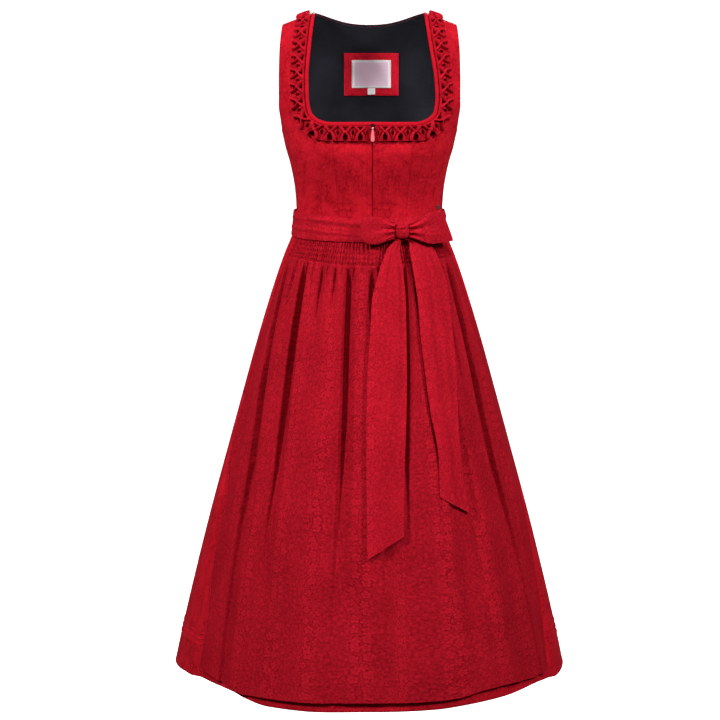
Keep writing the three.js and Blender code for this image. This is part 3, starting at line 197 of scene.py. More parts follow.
# Short folds of the apron that end below its head, in the same columns
SHORT_FOLDS = [
    (-53.2, -54.5, -55, 1.8, 1.5, 10, -432, -456, -560),
    (-41.6, -37.2, -36, 1.4, 1.4, 8, -434, -452, -520),
    (-35.8, -34.5, -33, 1.3, 1.6, 3.5, -436, -452, -500),
    (-24.8, -24, -23, 1.2, 1.2, 4, -436, -450, -486),
    (-15.2, -15, -15, 1.3, 1.3, 3.5, -437, -450, -486),
    (-7.6, -6.5, -6, 1.4, 1.4, 6, -437, -452, -520),
    (-3.2, -2.5, -2, 1.2, 1.3, 3.5, -437, -450, -480),
    (4.6, 6, 8, 1.4, 1.6, 9, -437, -456, -560),
    (9.5, 11, 12, 1.8, 2.0, 9, -437, -470, -620),
    (13.8, 15, 17, 1.2, 1.4, 4, -437, -452, -500),
    (31.5, 33, 34, 1.3, 1.3, 4, -436, -452, -500),
    (46, 47, 49, 2.4, 2.4, 8, -436, -480, -820),
    (51.5, 51, 51, 1.4, 1.4, 5, -434, -456, -520),
    (63, 62.5, 62, 1.6, 1.6, 7, -432, -470, -620),
]

# Heights between which the main folds lose their depth
MAIN_FOLDS_FADE = (-640, -1060)

# Shallow folds at the sides, which the skirt shares, in the same columns
SIDE_FOLDS = [
    (66, 66, 65.5, 4.6, 4.6, 7, -450, -760, 0.5),
    (-70, -68, -69, 5, 5, 6, -450, -820, 0.15),
]
BACK_FOLDS = 16
FOLD_TOP_Z = -470
FOLD_MIDDLE_Z = -800
GATHER_PITCH = 6.4286
GATHER_DEPTH = 3

# Pintucks above the hem of the skirt
TUCK_HEIGHTS = [-1117, -1128, -1139]
TUCK_DEPTH = 1.1
TUCK_DROP = 1.2

# Bow
KNOT_X, KNOT_Z = 57, -382
KNOT_WIDTH, KNOT_HEIGHT, KNOT_DEPTH = 26, 30, 20
KNOT_STAND = 1
LOOP_CLOTH = 1.2
LOOP_FLATNESS = 8
LOOP_SPREAD = 0.6

# Tails: left x and z, right x and z, how far it stands off the apron, place of its crease across
TAIL_LEFT = [
    (48, -396.4, 56.2, -397.3, 11.7, 0.6),
    (32, -412.8, 53.4, -416, 9, 0.6),
    (20.5, -441.5, 57.6, -442, 7.5, 0.66),
    (11, -472.5, 61, -473, 6.5, 0.7),
    (4, -502, 63.6, -502.5, 6, 0.74),
    (0.5, -565, 64.6, -560, 5.5, 0.78),
    (-4.5, -638, 65.4, -630, 5, 0.7),
    (-6.2, -724, 64, -710, 5, 0.5),
    (-5.7, -808, 60.6, -800, 5, 0.42),
    (-5, -944, 59.5, -905, 5, 0.4),
]
TAIL_RIGHT = [
    (57.8, -397.3, 67, -396.4, 11.7, 0.4),
    (69.5, -404, 104, -407, 9, 0.4),
    (70.5, -417, 116, -419.5, 8, 0.4),
    (74.6, -443, 126, -442, 7, 0.38),
    (80, -474, 136.5, -472, 6.5, 0.35),
    (85, -508, 142, -506, 6, 0.32),
    (88.5, -555, 146.5, -551, 5.5, 0.3),
    (98.8, -641, 154.5, -640, 5, 0.32),
    (106, -693, 156, -692, 5, 0.4),
    (121, -779, 161, -780, 5, 0.5),
    (123, -842, 175.5, -874, 5, 0.5),
]
TAIL_CLOTH = 1.4


def lerp(a, b, s):
    return a + (b - a) * s


def smoothstep(x, low, high):
    s = np.clip((x - low) / (high - low), 0, 1)
    return s * s * (3 - 2 * s)


def bump(x, centre, width):
    return np.exp(-(((x - centre) / width) ** 2))


def lengths_along(points):
    """Lengths from the first point of a line, or of each row of points, to each of its points."""
    steps = np.linalg.norm(np.diff(points, axis=-2), axis=-1)
    return np.concatenate([0 * steps[..., :1], np.cumsum(steps, -1)], -1)


def uneven(index, seed):
    """Uneven number between -1 and 1, the same on every run."""
    wave = np.sin(index * 12.9898 + seed * 78.233) * 43758.5453
    return 2 * (wave - np.floor(wave)) - 1


def smooth(keys, values):
    """Smooth curve through a table, without overshoot."""
    order = np.argsort(keys)
    keys, values = np.array(keys, float)[order], np.array(values, float)[order]
    slopes = np.diff(values) / np.diff(keys)
    before = np.concatenate([slopes[:1], slopes])
    after = np.concatenate([slopes, slopes[-1:]])
    alike = before * after > 0
    tangents = np.where(alike, 2 * before * after / np.where(alike, before + after, 1), 0)

    def at(x):
        x = np.asarray(x, float)
        i = np.clip(np.searchsorted(keys, x) - 1, 0, len(keys) - 2)
        width = keys[i + 1] - keys[i]
        s = np.clip((x - keys[i]) / width, 0, 1)
        rise = values[i + 1] - values[i]
        bend = (1 - s) * (tangents[i] * width - rise) + s * (rise - tangents[i + 1] * width)
        return values[i] + rise * s + s * (1 - s) * bend

    return at


def column(rows, index):
    return smooth([row[0] for row in rows], [row[index] for row in rows])


def section_of(levels):
    curves = [column(levels, i) for i in range(1, 5)]
    return lambda z: [curve(z) for curve in curves]


body_section = section_of(BODY_LEVELS)
skirt_section = section_of(SKIRT_LEVELS)
band_section = section_of(BAND_LEVELS)


def ring_points(section, degrees, z, offset):
    """Points of a section at angles from the centre front, moved out by an offset."""
    degrees, z, offset = np.broadcast_arrays(degrees, z, offset)
    half, front, back, roundness = section(z)
    sine, cosine = np.sin(np.radians(degrees)), np.cos(np.radians(degrees))
    face = np.where(cosine >= 0, -1.0, 1.0)
    depth = np.where(cosine >= 0, front, back)
    x = half * np.sign(sine) * np.abs(sine) ** (2 / roundness)
    y = face * depth * np.abs(cosine) ** (2 / roundness)
    out_x = np.sign(sine) * np.abs(sine) ** (2 - 2 / roundness) / half
    out_y = face * np.abs(cosine) ** (2 - 2 / roundness) / depth
    length = np.hypot(out_x, out_y)
    return np.stack([x + out_x / length * offset, y + out_y / length * offset, z], -1)


def front_of(section, x, z):
    """Where the front face of a section lies at a given x and height."""
    half, front, _, roundness = section(z)
    share = np.minimum(np.abs(x) / half, 0.995)
    return -front * (1 - share**roundness) ** (1 / roundness)


# The bodice surface is measured by an angle and a fall: 0 on the shoulder line, 1 at the bust, 2 at the waist
def shoulder_top(x):
    out = np.abs(x)
    sloping = -SHOULDER_SLOPE * (out - NECK_POINT_X)
    return np.where(out > NECK_POINT_X, sloping, NECK_CROWN * (1 - (out / NECK_POINT_X) ** 2))


def bust_fullness(x, z):
    cups = bump(np.abs(x), 72, 48) - 0.35 * bump(x, 0, 30)
    return 7 * cups * bump(z, BUST_Z, 50)


def body_points(face, angle, fall):
    angle, fall = np.broadcast_arrays(np.asarray(angle, float), np.asarray(fall, float))
    sine = np.sin(angle)
    half, front, back, roundness = body_section(np.full(angle.shape, float(BUST_Z)))
    for _ in range(5):
        x = half * np.sign(sine) * np.abs(sine) ** (2 / roundness)
        below = lerp(BUST_Z, WAIST_Z, fall - 1)
        z = np.where(fall >= 1, below, lerp(shoulder_top(x), BUST_Z, fall))
        half, front, back, roundness = body_section(z)
    depth = front if face < 0 else back
    lean = np.where(fall < 1, np.sqrt(np.clip(1 - (1 - fall) ** 2, 0, 1)), 1)
    across = np.abs(np.cos(angle)) ** (2 / roundness)
    full = bust_fullness(x, z) * across * lean if face < 0 else 0
    return np.stack([x, face * (depth * lean * across + full), z], -1)


def locate(x, z):
    """Place on the surface, as angle and fall, at a given x and height."""
    x, z = np.broadcast_arrays(np.asarray(x, float), np.asarray(z, float))
    top = shoulder_top(x)
    height = np.where(np.isnan(z), top, z)
    above = (top - height) / (top - BUST_Z)
    below = 1 + (BUST_Z - height) / (BUST_Z - WAIST_Z)
    fall = np.maximum(np.where(height > BUST_Z, above, below), 0)
    half, _, _, roundness = body_section(height)
    share = np.minimum(np.abs(x) / half, 1) ** (roundness / 2)
    return np.stack([np.sign(x) * np.arcsin(share), fall], -1)


SIDE = math.pi / 2
ANGLE_STEP = 0.02
FALL_STEP = 0.01
FIGURE_CORE = np.array([0, 0, -200.0])


def body_tangents(face, places):
    angle, fall = places[..., 0], places[..., 1]
    sign = np.where(angle < 0, -1.0, 1.0)
    side = np.minimum(np.abs(angle) + ANGLE_STEP, SIDE) * sign
    inner = side - 2 * ANGLE_STEP * sign
    low, high = np.minimum(fall + FALL_STEP, 2), np.maximum(fall - FALL_STEP, 0)
    per_angle = (body_points(face, side, fall) - body_points(face, inner, fall)) / (side - inner)[..., None]
    per_fall = (body_points(face, angle, low) - body_points(face, angle, high)) / (low - high)[..., None]
    return per_angle, per_fall


def unit(vectors):
    return vectors / np.maximum(np.linalg.norm(vectors, axis=-1, keepdims=True), 1e-9)


def body_normals(face, places):
    angle, fall = places[..., 0], places[..., 1]
    points = body_points(face, angle, fall)
    normals = np.cross(*body_tangents(face, places))
    outward = np.sum(normals * (points - FIGURE_CORE), -1, keepdims=True)
    normals = normals * np.where(outward < 0, -1, 1)
    normals[..., 1] = np.where(np.abs(angle) > SIDE - 0.001, 0, normals[..., 1])
    top = np.stack([np.sign(angle) * SHOULDER_SLOPE, np.zeros_like(angle), np.ones_like(angle)], -1)
    normals = np.where((fall == 0)[..., None], top, normals)
    normals[..., 0] = np.where(angle == 0, 0, normals[..., 0])
    return unit(normals)


def bodice_points(face, places, offset):
    """Points on the bodice moved out by an offset, and kept half a seam gap clear of the other face."""
    points = body_points(face, places[..., 0], places[..., 1])
    points = points + body_normals(face, places) * np.asarray(offset, float)[..., None]
    points[..., 1] = face * np.maximum(face * points[..., 1] + SEAM_GAP / 2, SEAM_GAP / 2)
    return points


def walk(face, places, direction, distance):
    """Walks over the bodice surface from places, along directions, for a distance."""
    steps = 4
    for _ in range(steps):
        per_angle, per_fall = body_tangents(face, places)
        step = direction * (distance / steps)
        aa, bb = np.sum(per_angle**2, -1), np.sum(per_fall**2, -1)
        ab = np.sum(per_angle * per_fall, -1)
        a, b = np.sum(per_angle * step, -1), np.sum(per_fall * step, -1)
        scale = 1 / (aa * bb - ab * ab)
        angle = places[..., 0] + (a * bb - b * ab) * scale
        fall = np.clip(places[..., 1] + (b * aa - a * ab) * scale, 0, 2)
        places = np.stack([angle, fall], -1)
    return places


# Cloth walls are lists of rows, from the top down and from left to right as seen from outside. A row holds
# points x, y, z and the place u, v in metres on the flat cloth.
def with_flat(points, u, v):
    u, v = np.broadcast_to(u, points.shape[:-1]), np.broadcast_to(v, points.shape[:-1])
    return np.concatenate([points, u[..., None], v[..., None]], -1)


def flat_by_length(points):
    """Lays a sheet of points out flat by its lengths, from the middle of each row."""
    middle = points.shape[1] // 2
    u, v = lengths_along(points), -lengths_along(points[:, middle])
    return with_flat(points, (u - u[:, middle : middle + 1]) * MM, v[:, None] * MM)


def shares(row):
    lengths = lengths_along(row[:, :3])
    return lengths / max(lengths[-1], 1e-9)


def wall(outer, inner):
    """A closed wall between two sheets. Gives its points, its faces and which of them face inside."""
    points, faces = [], []
    count = 0

    def enter(row):
        nonlocal count
        points.append(np.asarray(row, float))
        count += len(row)
        return np.arange(count - len(row), count)

    def bridge(upper, lower, flipped=False):
        made = []
        if len(upper) == len(lower):
            made = np.stack([upper[:-1], lower[:-1], lower[1:], upper[1:]], -1).tolist()
        else:
            at = np.concatenate(points)
            top, bottom = shares(at[upper]), shares(at[lower])
            i = j = 0
            while i < len(upper) - 1 or j < len(lower) - 1:
                next_top = top[i + 1] if i < len(upper) - 1 else math.inf
                next_bottom = bottom[j + 1] if j < len(lower) - 1 else math.inf
                if next_top <= next_bottom:
                    made.append([int(upper[i]), int(lower[j]), int(upper[i + 1])])
                    i += 1
                else:
                    made.append([int(upper[i]), int(lower[j]), int(lower[j + 1])])
                    j += 1
        faces.extend([face[::-1] for face in made] if flipped else made)

    outside, inside = [enter(row) for row in outer], [enter(row) for row in inner]
    for upper, lower in zip(outside, outside[1:]):
        bridge(upper, lower)
    facing_out = len(faces)
    for upper, lower in zip(inside, inside[1:]):
        bridge(upper, lower, flipped=True)
    facing_in = len(faces)
    bridge(inside[0], outside[0])
    bridge(outside[-1], inside[-1])
    bridge(np.array([row[0] for row in outside]), np.array([row[0] for row in inside]))
    bridge(np.array([row[-1] for row in inside]), np.array([row[-1] for row in outside]))
    side = np.zeros(len(faces), int)
    side[facing_out:facing_in] = 1
    return np.concatenate(points), faces, side


def make(node, shape, finish, lining=None, sharp=40, replaces=True):
    """Makes a piece of the garment from a shape: points with flat places, faces, and which face inside."""
    points, faces, side = shape
    name = node + "_cloth" if replaces else node
    mesh = bpy.data.meshes.new(name)
    mesh.from_pydata((points[:, :3] * MM).tolist(), [], faces)
    corners = np.zeros(len(mesh.loops), int)
    mesh.loops.foreach_get("vertex_index", corners)
    flat = mesh.uv_layers.new(name="cloth")
    flat.data.foreach_set("uv", points[corners, 3:5].astype(np.float32).ravel())
    mesh.materials.append(finish)
    if lining:
        mesh.materials.append(lining)
        mesh.polygons.foreach_set("material_index", np.asarray(side, np.int32))
    mesh.shade_smooth()
    mesh.set_sharp_from_angle(angle=math.radians(sharp))
    mesh.update()
    piece = bpy.data.objects.new(name, mesh)
    bpy.context.scene.collection.objects.link(piece)
    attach(piece, GARMENT)
    if replaces:
        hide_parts(node)
    return piece


# Materials


class Shade:
    """One output of a material's nodes. Sums and products of it add Math nodes."""

    def __init__(self, tree, socket):
        self.tree, self.socket = tree, socket

    def node(self, kind, settings=None, values=None, output=0):
        made = self.tree.nodes.new("ShaderNode" + kind)
        for name, value in (settings or {}).items():
            if name == "stops":
                ramp = made.color_ramp.elements
                while len(ramp) < len(value):
                    ramp.new(0.5)
                for element, (position, colour) in zip(ramp, value):
                    element.position, element.color = position, colour
            else:
                setattr(made, name, value)
        for name, value in (values or {}).items():
            if isinstance(value, Shade):
                self.tree.links.new(value.socket, made.inputs[name])
            else:
                made.inputs[name].default_value = value
        return Shade(self.tree, made.outputs[output])

    def math(self, operation, *operands, clamp=False):
        return self.node("Math", {"operation": operation, "use_clamp": clamp}, dict(enumerate(operands)))

    def vector(self, operation, values, output=0):
        return self.node("VectorMath", {"operation": operation}, values, output)

    def mix(self, low, high):
        """Colour between two, with this value as the share."""
        return self.node("Mix", {"data_type": "RGBA"}, {0: self, 6: low, 7: high}, 2)

    def clamped(self):
        return self.math("ADD", self, 0.0, clamp=True)

    def __add__(self, other):
        return self.math("ADD", self, other)

    __radd__ = __add__

    def __sub__(self, other):
        return self.math("SUBTRACT", self, other)

    def __rsub__(self, other):
        return self.math("SUBTRACT", other, self)

    def __mul__(self, other):
        return self.math("MULTIPLY", self, other)

    __rmul__ = __mul__

    def __truediv__(self, other):
        return self.math("DIVIDE", self, other)

    def __pow__(self, other):
        return self.math("POWER", self, other)

    def __abs__(self):
        return self.math("ABSOLUTE", self)


def cos(shade):
    return shade.math("COSINE", shade)


def noise(at, size, detail=2.0):
    """Cloudy value around 0, with blobs of a size in metres."""
    values = {"Vector": at, "Scale": 1 / size, "Detail": detail}
    return at.node("TexNoise", {"noise_dimensions": "3D"}, values) - 0.5


def halves(flat):
    """The two coordinates on the flat cloth, across and along."""
    return flat.node("SeparateXYZ", None, {0: flat}, 0), flat.node("SeparateXYZ", None, {0: flat}, 1)


def new_finish(name):
    material = bpy.data.materials.new(name)
    material.use_nodes = True
    shader = material.node_tree.nodes["Principled BSDF"]
    return material, shader, Shade(material.node_tree, shader.outputs[0])


def new_cloth(name):
    """A new finish with its place on the flat cloth, whole and as its two coordinates."""
    material, shader, shade = new_finish(name)
    flat = shade.node("UVMap", {"uv_map": "cloth"})
    return material, shader, flat, *halves(flat)


def drive(shader, socket, value):
    value.tree.links.new(value.socket, shader.inputs[socket])


def raised(height):
    return height.node("Bump", None, {"Strength": 1.0, "Distance": 1.0, "Height": height})


def weave(u, v, thread):
    """Height of a plain weave with threads of a width in metres."""
    turn = math.pi / thread
    over = cos(u * turn) * cos(v * turn)
    return over * 0.5 + (cos(u * (2 * turn)) + cos(v * (2 * turn))) * 0.25


def rosettes(flat, size, petals, fullness, randomness):
    """Rosettes in uneven cells. Gives masks of the petals, their outline, the ring round the eye and the veins."""
    cells = {"Vector": flat, "Scale": 1 / size, "Randomness": randomness}
    settings = {"voronoi_dimensions": "2D", "feature": "F1"}
    centre = flat.node("TexVoronoi", settings, cells, "Position")
    hue = flat.node("TexVoronoi", settings, cells, "Color")
    phase = flat.node("SeparateXYZ", None, {0: hue}, 0)
    arm = flat.vector("SUBTRACT", {0: flat, 1: centre})
    radius = flat.vector("LENGTH", {0: arm}, "Value") / size
    x, y = halves(arm)
    angle = flat.math("ARCTAN2", y, x)
    lobes = cos(angle * petals + phase * 6.283)
    edge = fullness * (0.85 + 0.3 * phase) + lobes * (0.16 * fullness)
    inside = ((edge - radius) * 14.0).clamped()
    outline = 1 - (abs(edge - radius) * 16.0).clamped()
    veins = 1 - (abs(lobes + 0.92) * 5.0).clamped()
    ring = 1 - (abs(radius - fullness * 0.33) * 18.0).clamped()
    return inside, outline, ring, veins * inside


CLOTH_IOR = 1.1
RED_TINT = (0.9, 0.03, 0.06, 1.0)
BLUE_TINT = (0.8, 0.8, 1.0, 1.0)
WHITE_TINT = (1, 1, 1, 1)


def finish_cloth(shader, colour, height, roughness, sheen, tint=RED_TINT):
    drive(shader, "Base Color", colour)
    if isinstance(roughness, Shade):
        drive(shader, "Roughness", roughness)
    else:
        shader.inputs["Roughness"].default_value = roughness
    shader.inputs["IOR"].default_value = CLOTH_IOR
    shader.inputs["Specular Tint"].default_value = tint
    shader.inputs["Sheen Weight"].default_value = sheen
    shader.inputs["Sheen Roughness"].default_value = 0.4
    shader.inputs["Sheen Tint"].default_value = tint
    drive(shader, "Normal", raised(height))


def dress_jacquard(name="dress_jacquard", dark=(0.18, 0.0017, 0.0051, 1), light=(0.46, 0.008, 0.0177, 1)):
    """Red damask of the dress: darker blossoms and scrolls on a finely ribbed ground, tone on tone."""
    material, shader, flat, u, v = new_cloth(name)
    drift = noise(flat, 0.05, 2.0)
    bent = flat.vector("MULTIPLY_ADD", {0: flat.node("CombineXYZ", None, {0: drift, 1: drift, 2: 0.0}),
                                        1: (0.03, 0.03, 0.0), 2: flat})
    inside, outline, ring, veins = rosettes(bent, 0.044, 6.0, 0.44, 0.75)
    leaf_in, leaf_edge, _, leaf_veins = rosettes(bent, 0.017, 3.0, 0.46, 1.0)
    scroll = 1 - (abs(noise(bent, 0.03, 2.0)) * 14.0).clamped()
    blossom = inside * 0.34 + outline * 0.4 - ring * 0.3 - veins * 0.25
    leaves = (leaf_in * 0.3 + leaf_edge * 0.26 - leaf_veins * 0.2 + scroll * 0.3) * (1 - inside)
    tone = ((blossom + leaves) * (noise(flat, 0.028, 2.0) * 2.0 + 0.6)).clamped()
    cloud = noise(flat, 0.07, 3.0)
    mottle = noise(flat, 0.0042, 2.0)
    threads = cos(u * (2 * math.pi / 0.0052)) * noise(flat, 0.02, 2.0)
    share = (0.78 - tone * 0.9 + cloud * 0.9 + mottle * 1.1 + threads * 0.5).clamped()
    height = tone * -0.00012 + weave(u, v, 0.0006) * 0.00005 + noise(flat, 0.02, 3.0) * 0.0011
    finish_cloth(shader,share.mix(dark, light), height, 0.5 + tone * 0.18, 0.16)
    return material


APRON_STRIPE = 0.071


def apron_jacquard(name="apron_jacquard", dark=(0.15, 0.0018, 0.0053, 1), light=(0.41, 0.0079, 0.0182, 1)):
    """Red jacquard of the apron: wavy upright rows of small ringed rosettes, close in tone to the ground."""
    material, shader, flat, u, v = new_cloth(name)
    drift = noise(flat, 0.045, 2.0)
    inside, outline, ring, veins = rosettes(flat, 0.0155, 5.0, 0.44, 0.55)
    leaf_in, leaf_edge, _, _ = rosettes(flat, 0.0085, 3.0, 0.4, 1.0)
    stripe = cos((u + drift * 0.02) * (2 * math.pi / APRON_STRIPE))
    stripe = ((stripe + noise(flat, 0.02, 2.0) * 1.6 + 0.1) * 1.3).clamped()
    blossom = inside * 0.30 - outline * 0.62 - ring * 0.5 - veins * 0.3
    ground = (leaf_in * 0.16 - leaf_edge * 0.22) * (1 - stripe)
    tone = blossom * stripe + stripe * 0.12 + ground
    cloud = noise(flat, 0.08, 3.0)
    mottle = noise(flat, 0.004, 2.0)
    share = (0.56 + tone * 0.9 + cloud * 0.5 + mottle * 1.3).clamped()
    colour = share.mix(dark, light)
    height = tone * 0.00012 + weave(u, v, 0.0006) * 0.00005 + noise(flat, 0.016, 3.0) * 0.0008
    finish_cloth(shader,colour, height, 0.56 - tone * 0.12, 0.16)
    return material


def plain_cloth(name, dark, light, thread, roughness, sheen, tint=RED_TINT, wrinkle=0.0006):
    material, shader, flat, u, v = new_cloth(name)
    share = (noise(flat, 0.03, 3.0) * 0.8 + noise(flat, 0.0025, 2.0) * 0.4 + 0.5).clamped()
    height = weave(u, v, thread) * 0.00006 + noise(flat, 0.012, 3.0) * wrinkle
    finish_cloth(shader,share.mix(dark, light), height, roughness, sheen, tint)
    return material


def pinched_cloth():
    """Satin cloth of the pinched trim. Its colour carries painted shade down in its mouths, in its notches and between
    its units, where folded cloth shades itself.
    """
    material, shader, flat, u, v = new_cloth("pinched_trim_cloth")
    turn = u / PINCH_LENGTH
    aside = abs(turn - turn.math("FLOOR", turn) - 0.5) * 2.0
    down = v / (TRIM_WIDTH * MM) * 2.0 - 1.0
    mouth = 1 - ((aside / 0.34) ** 2.0 + ((down - 0.42) / 0.40) ** 2.0)
    notch = 1 - ((aside / 0.2) ** 2.0 + ((down + 0.62) / 0.22) ** 2.0)
    between = 1 - (((aside - 1.0) / 0.24) ** 2.0 + ((down + 0.1) / 0.34) ** 2.0)
    # Painted shade: masks of the mouths, notches and gaps between units darken the colour towards its dark stop.
    painted_shade = (mouth * 2.2).clamped()
    painted_shade = painted_shade.math("MAXIMUM", painted_shade, (notch * 1.6).clamped() * 0.75)
    painted_shade = painted_shade.math("MAXIMUM", painted_shade, (between * 1.8).clamped() * 0.8)
    share = (noise(flat, 0.02, 3.0) * 0.8 + noise(flat, 0.0025, 2.0) * 0.4 + 0.6 - painted_shade * 1.1).clamped()
    colour = share.mix((0.05, 0.0006, 0.0012, 1), (0.50, 0.009, 0.0215, 1))
    height = weave(u, v, 0.0005) * 0.00006 + noise(flat, 0.008, 3.0) * 0.0007
    finish_cloth(shader,colour, height, 0.46, 0.2)
    return material


def label_finish():
    """Pale woven label with a plain pink field. It stays bare."""
    material, shader, flat, u, v = new_cloth("label_cloth")
    field = (1 - (abs(u) - 0.0308) * 1500.0).clamped() * (1 - (abs(v + 0.0256) - 0.0214) * 1500.0).clamped()
    share = (field * 0.94 + noise(flat, 0.003, 2.0) * 0.12).clamped()
    colour = share.mix((0.93, 0.93, 0.95, 1), (0.90, 0.61, 0.74, 1))
    height = weave(u, v, 0.0005) * 0.00005
    finish_cloth(shader,colour, height, 0.55, 0.1, WHITE_TINT)
    return material


def hard_finish(name, dark, light, roughness, metallic, coat):
    """Finish of the small hard parts, with fine scratches and dulled patches."""
    material, shader, shade = new_finish(name)
    place = shade.node("TexCoord", None, None, "Object")
    share = (noise(place, 0.004, 3.0) + 0.5).clamped()
    drive(shader, "Base Color", share.mix(dark, light))
    drive(shader, "Roughness", roughness + noise(place, 0.0015, 3.0) * 0.2)
    shader.inputs["Metallic"].default_value = metallic
    shader.inputs["Coat Weight"].default_value = coat
    shader.inputs["Coat Roughness"].default_value = 0.08
    drive(shader, "Normal", raised(noise(place, 0.0006) * 0.00002))
    return material


DRESS = dress_jacquard()
APRON = apron_jacquard()
# Darker copy of the apron jacquard for the apron itself: painted shade, since band, bow and tails are the same cloth.
APRON_PAINTED_SHADE = apron_jacquard("apron_painted_shade_jacquard", (0.10, 0.0012, 0.0036, 1), (0.375, 0.0072, 0.0165, 1))
PATCH_CLOTH = dress_jacquard("patch_jacquard", (0.42, 0.006, 0.014, 1), (0.66, 0.014, 0.032, 1))
TRIM = plain_cloth("trim_cloth", (0.27, 0.0025, 0.008, 1), (0.42, 0.007, 0.0165, 1), 0.0005, 0.5, 0.2)
PINCHED = pinched_cloth()
LINING = plain_cloth("black_lining", (0.0085, 0.0082, 0.011, 1), (0.0165, 0.016, 0.0205, 1), 0.0005, 0.7, 0.1,
                     BLUE_TINT)
THREAD = plain_cloth("sewing_thread", (0.20, 0.002, 0.006, 1), (0.33, 0.005, 0.012, 1), 0.0003, 0.5, 0.15)
LABEL_FINISH = label_finish()
ENAMEL = hard_finish("tab_enamel", (0.50, 0.10, 0.12, 1), (0.62, 0.17, 0.19, 1), 0.22, 0.0, 0.8)
DARK_METAL = hard_finish("slider_metal", (0.05, 0.008, 0.01, 1), (0.10, 0.012, 0.016, 1), 0.4, 1.0, 0.0)
SILVER = hard_finish("silver_metal", (0.28, 0.27, 0.27, 1), (0.42, 0.41, 0.41, 1), 0.34, 1.0, 0.0)


# Bodice


def finer(edge, rows):
    """A panel's edge with more rows."""
    edge = np.asarray(edge, float)
    index = np.arange(len(edge))
    at = np.linspace(0, len(edge) - 1, rows)
    return np.stack([smooth(index, edge[:, i])(at) for i in range(2)], -1)


def front_shift(z):
    return np.where(np.isnan(z), 0, smoothstep(-np.nan_to_num(z), 20, 190))


def front_places(side, rows, gap=0.0):
    z, out = np.array(rows, float).T
    return locate(CENTRE_FRONT_X * front_shift(z) + side * (out + gap), z)


def back_places(side, rows, gap=0.0):
    z, out = np.array(rows, float).T
    return locate(side * (out + gap), z)


def outer_edge(side, armhole):
    heights = np.array(SIDE_SEAM_HEIGHTS, float)
    seam = locate(side * body_section(heights)[0], heights)
    seam[:, 0] = side * SIDE
    return np.concatenate([seam, back_places(side, armhole)])


# Soft creases of the bodice: x, z, degrees of slope, half length, half width, depth
FRONT_CREASES = [
    (-118, -236, 62, 30, 5, 1.3), (-104, -300, 8, 24, 4, 0.8), (-84, -330, -12, 30, 4.5, 0.9),
    (-112, -342, 12, 20, 3.5, 0.9), (-40, -352, 6, 26, 4, 0.6), (-60, -226, 70, 20, 5, 0.7),
    (36, -338, -8, 28, 4, 0.7), (88, -318, 14, 26, 4.5, 0.9), (112, -338, -10, 18, 3.5, 0.9),
    (108, -240, -60, 28, 5, 1.2), (58, -228, -70, 18, 5, 0.6), (30, -290, 82, 30, 5, 0.5),
    (-30, -270, 84, 34, 5, 0.5), (-140, -120, 80, 34, 4, 0.7), (138, -112, -80, 30, 4, 0.7),
]
BACK_CREASES = [
    (-60, -330, 10, 40, 5, 1.1), (-92, -352, -6, 24, 4, 0.9), (10, -356, 2, 44, 4, 1.0), (24, -322, -5, 36, 5, 0.8),
    (78, -338, -12, 30, 4.5, 1.1), (104, -300, 16, 22, 4, 0.8), (-106, -290, -18, 24, 4, 0.8),
    (-40, -180, 76, 44, 7, 0.6), (46, -150, -74, 40, 7, 0.6), (0, -90, 4, 50, 6, 0.5),
]


def creased(points, creases):
    """How far soft creases sink or rise at points of a face."""
    x, z = points[..., 0], points[..., 2]
    relief = np.zeros_like(x)
    for place_x, place_z, slope, length, width, depth in creases:
        turn = math.radians(slope)
        along = (x - place_x) * math.cos(turn) + (z - place_z) * math.sin(turn)
        across = (z - place_z) * math.cos(turn) - (x - place_x) * math.sin(turn)
        across = across + 0.012 * along**2 / length * 10
        reach = bump(along, 0, length)
        relief += depth * reach * (0.6 * bump(across, width, width * 1.2) - bump(across, 0, width))
    return relief


SEAM_DIP = 0.7
SEAM_HALF_WIDTH = 1.6
SEAM_COLUMNS = (0.004, 0.012, 0.024, 0.045)


def seam_dip(points):
    """Cloth turns in at the two side seams of a panel."""
    along = lengths_along(points)
    left, right = bump(along, 0, SEAM_HALF_WIDTH), bump(along[:, -1:] - along, 0, SEAM_HALF_WIDTH)
    return -SEAM_DIP * (left + right)


def even_columns(columns):
    """Shares across a panel, closer together at its seams."""
    middle = np.linspace(0.07, 0.93, columns)
    return np.concatenate([[0], SEAM_COLUMNS, middle, 1 - np.array(SEAM_COLUMNS)[::-1], [1]])


def panel(name, face, side, outward, inward, rows, columns, creases, extra=None):
    """A panel of the bodice between its edge towards the arm and its edge towards the middle."""
    left, right = (outward, inward) if side < 0 else (inward, outward)
    left, right = finer(left, rows), finer(right, rows)
    fine = lerp(left[:, None], right[:, None], even_columns(columns)[None, :, None])
    if face > 0:
        fine = fine[:, ::-1]
    base = bodice_points(face, fine, 0)
    relief = creased(base, creases) + seam_dip(base)
    if extra is not None:
        relief = relief + extra(base)
    outer = bodice_points(face, fine, relief)
    inner = bodice_points(face, fine, np.minimum(relief, 0.4) - CLOTH)
    sheet = flat_by_length(outer)
    inside = with_flat(inner, sheet[..., 3], sheet[..., 4])
    return make(name, wall(sheet, inside), DRESS, LINING)


def zip_groove(side):
    """The fronts roll in at the closing, and the zip's tape marks them on each side of it."""

    def relief(points):
        out = side * (points[..., 0] - CENTRE_FRONT_X * front_shift(points[..., 2]))
        return -2.2 * bump(out, 0, 1.5) + 0.35 * bump(out, 4.5, 2.5) - 0.4 * bump(out, 9.5, 1.1) - 0.35 * bump(out, 18, 1.1)

    return relief


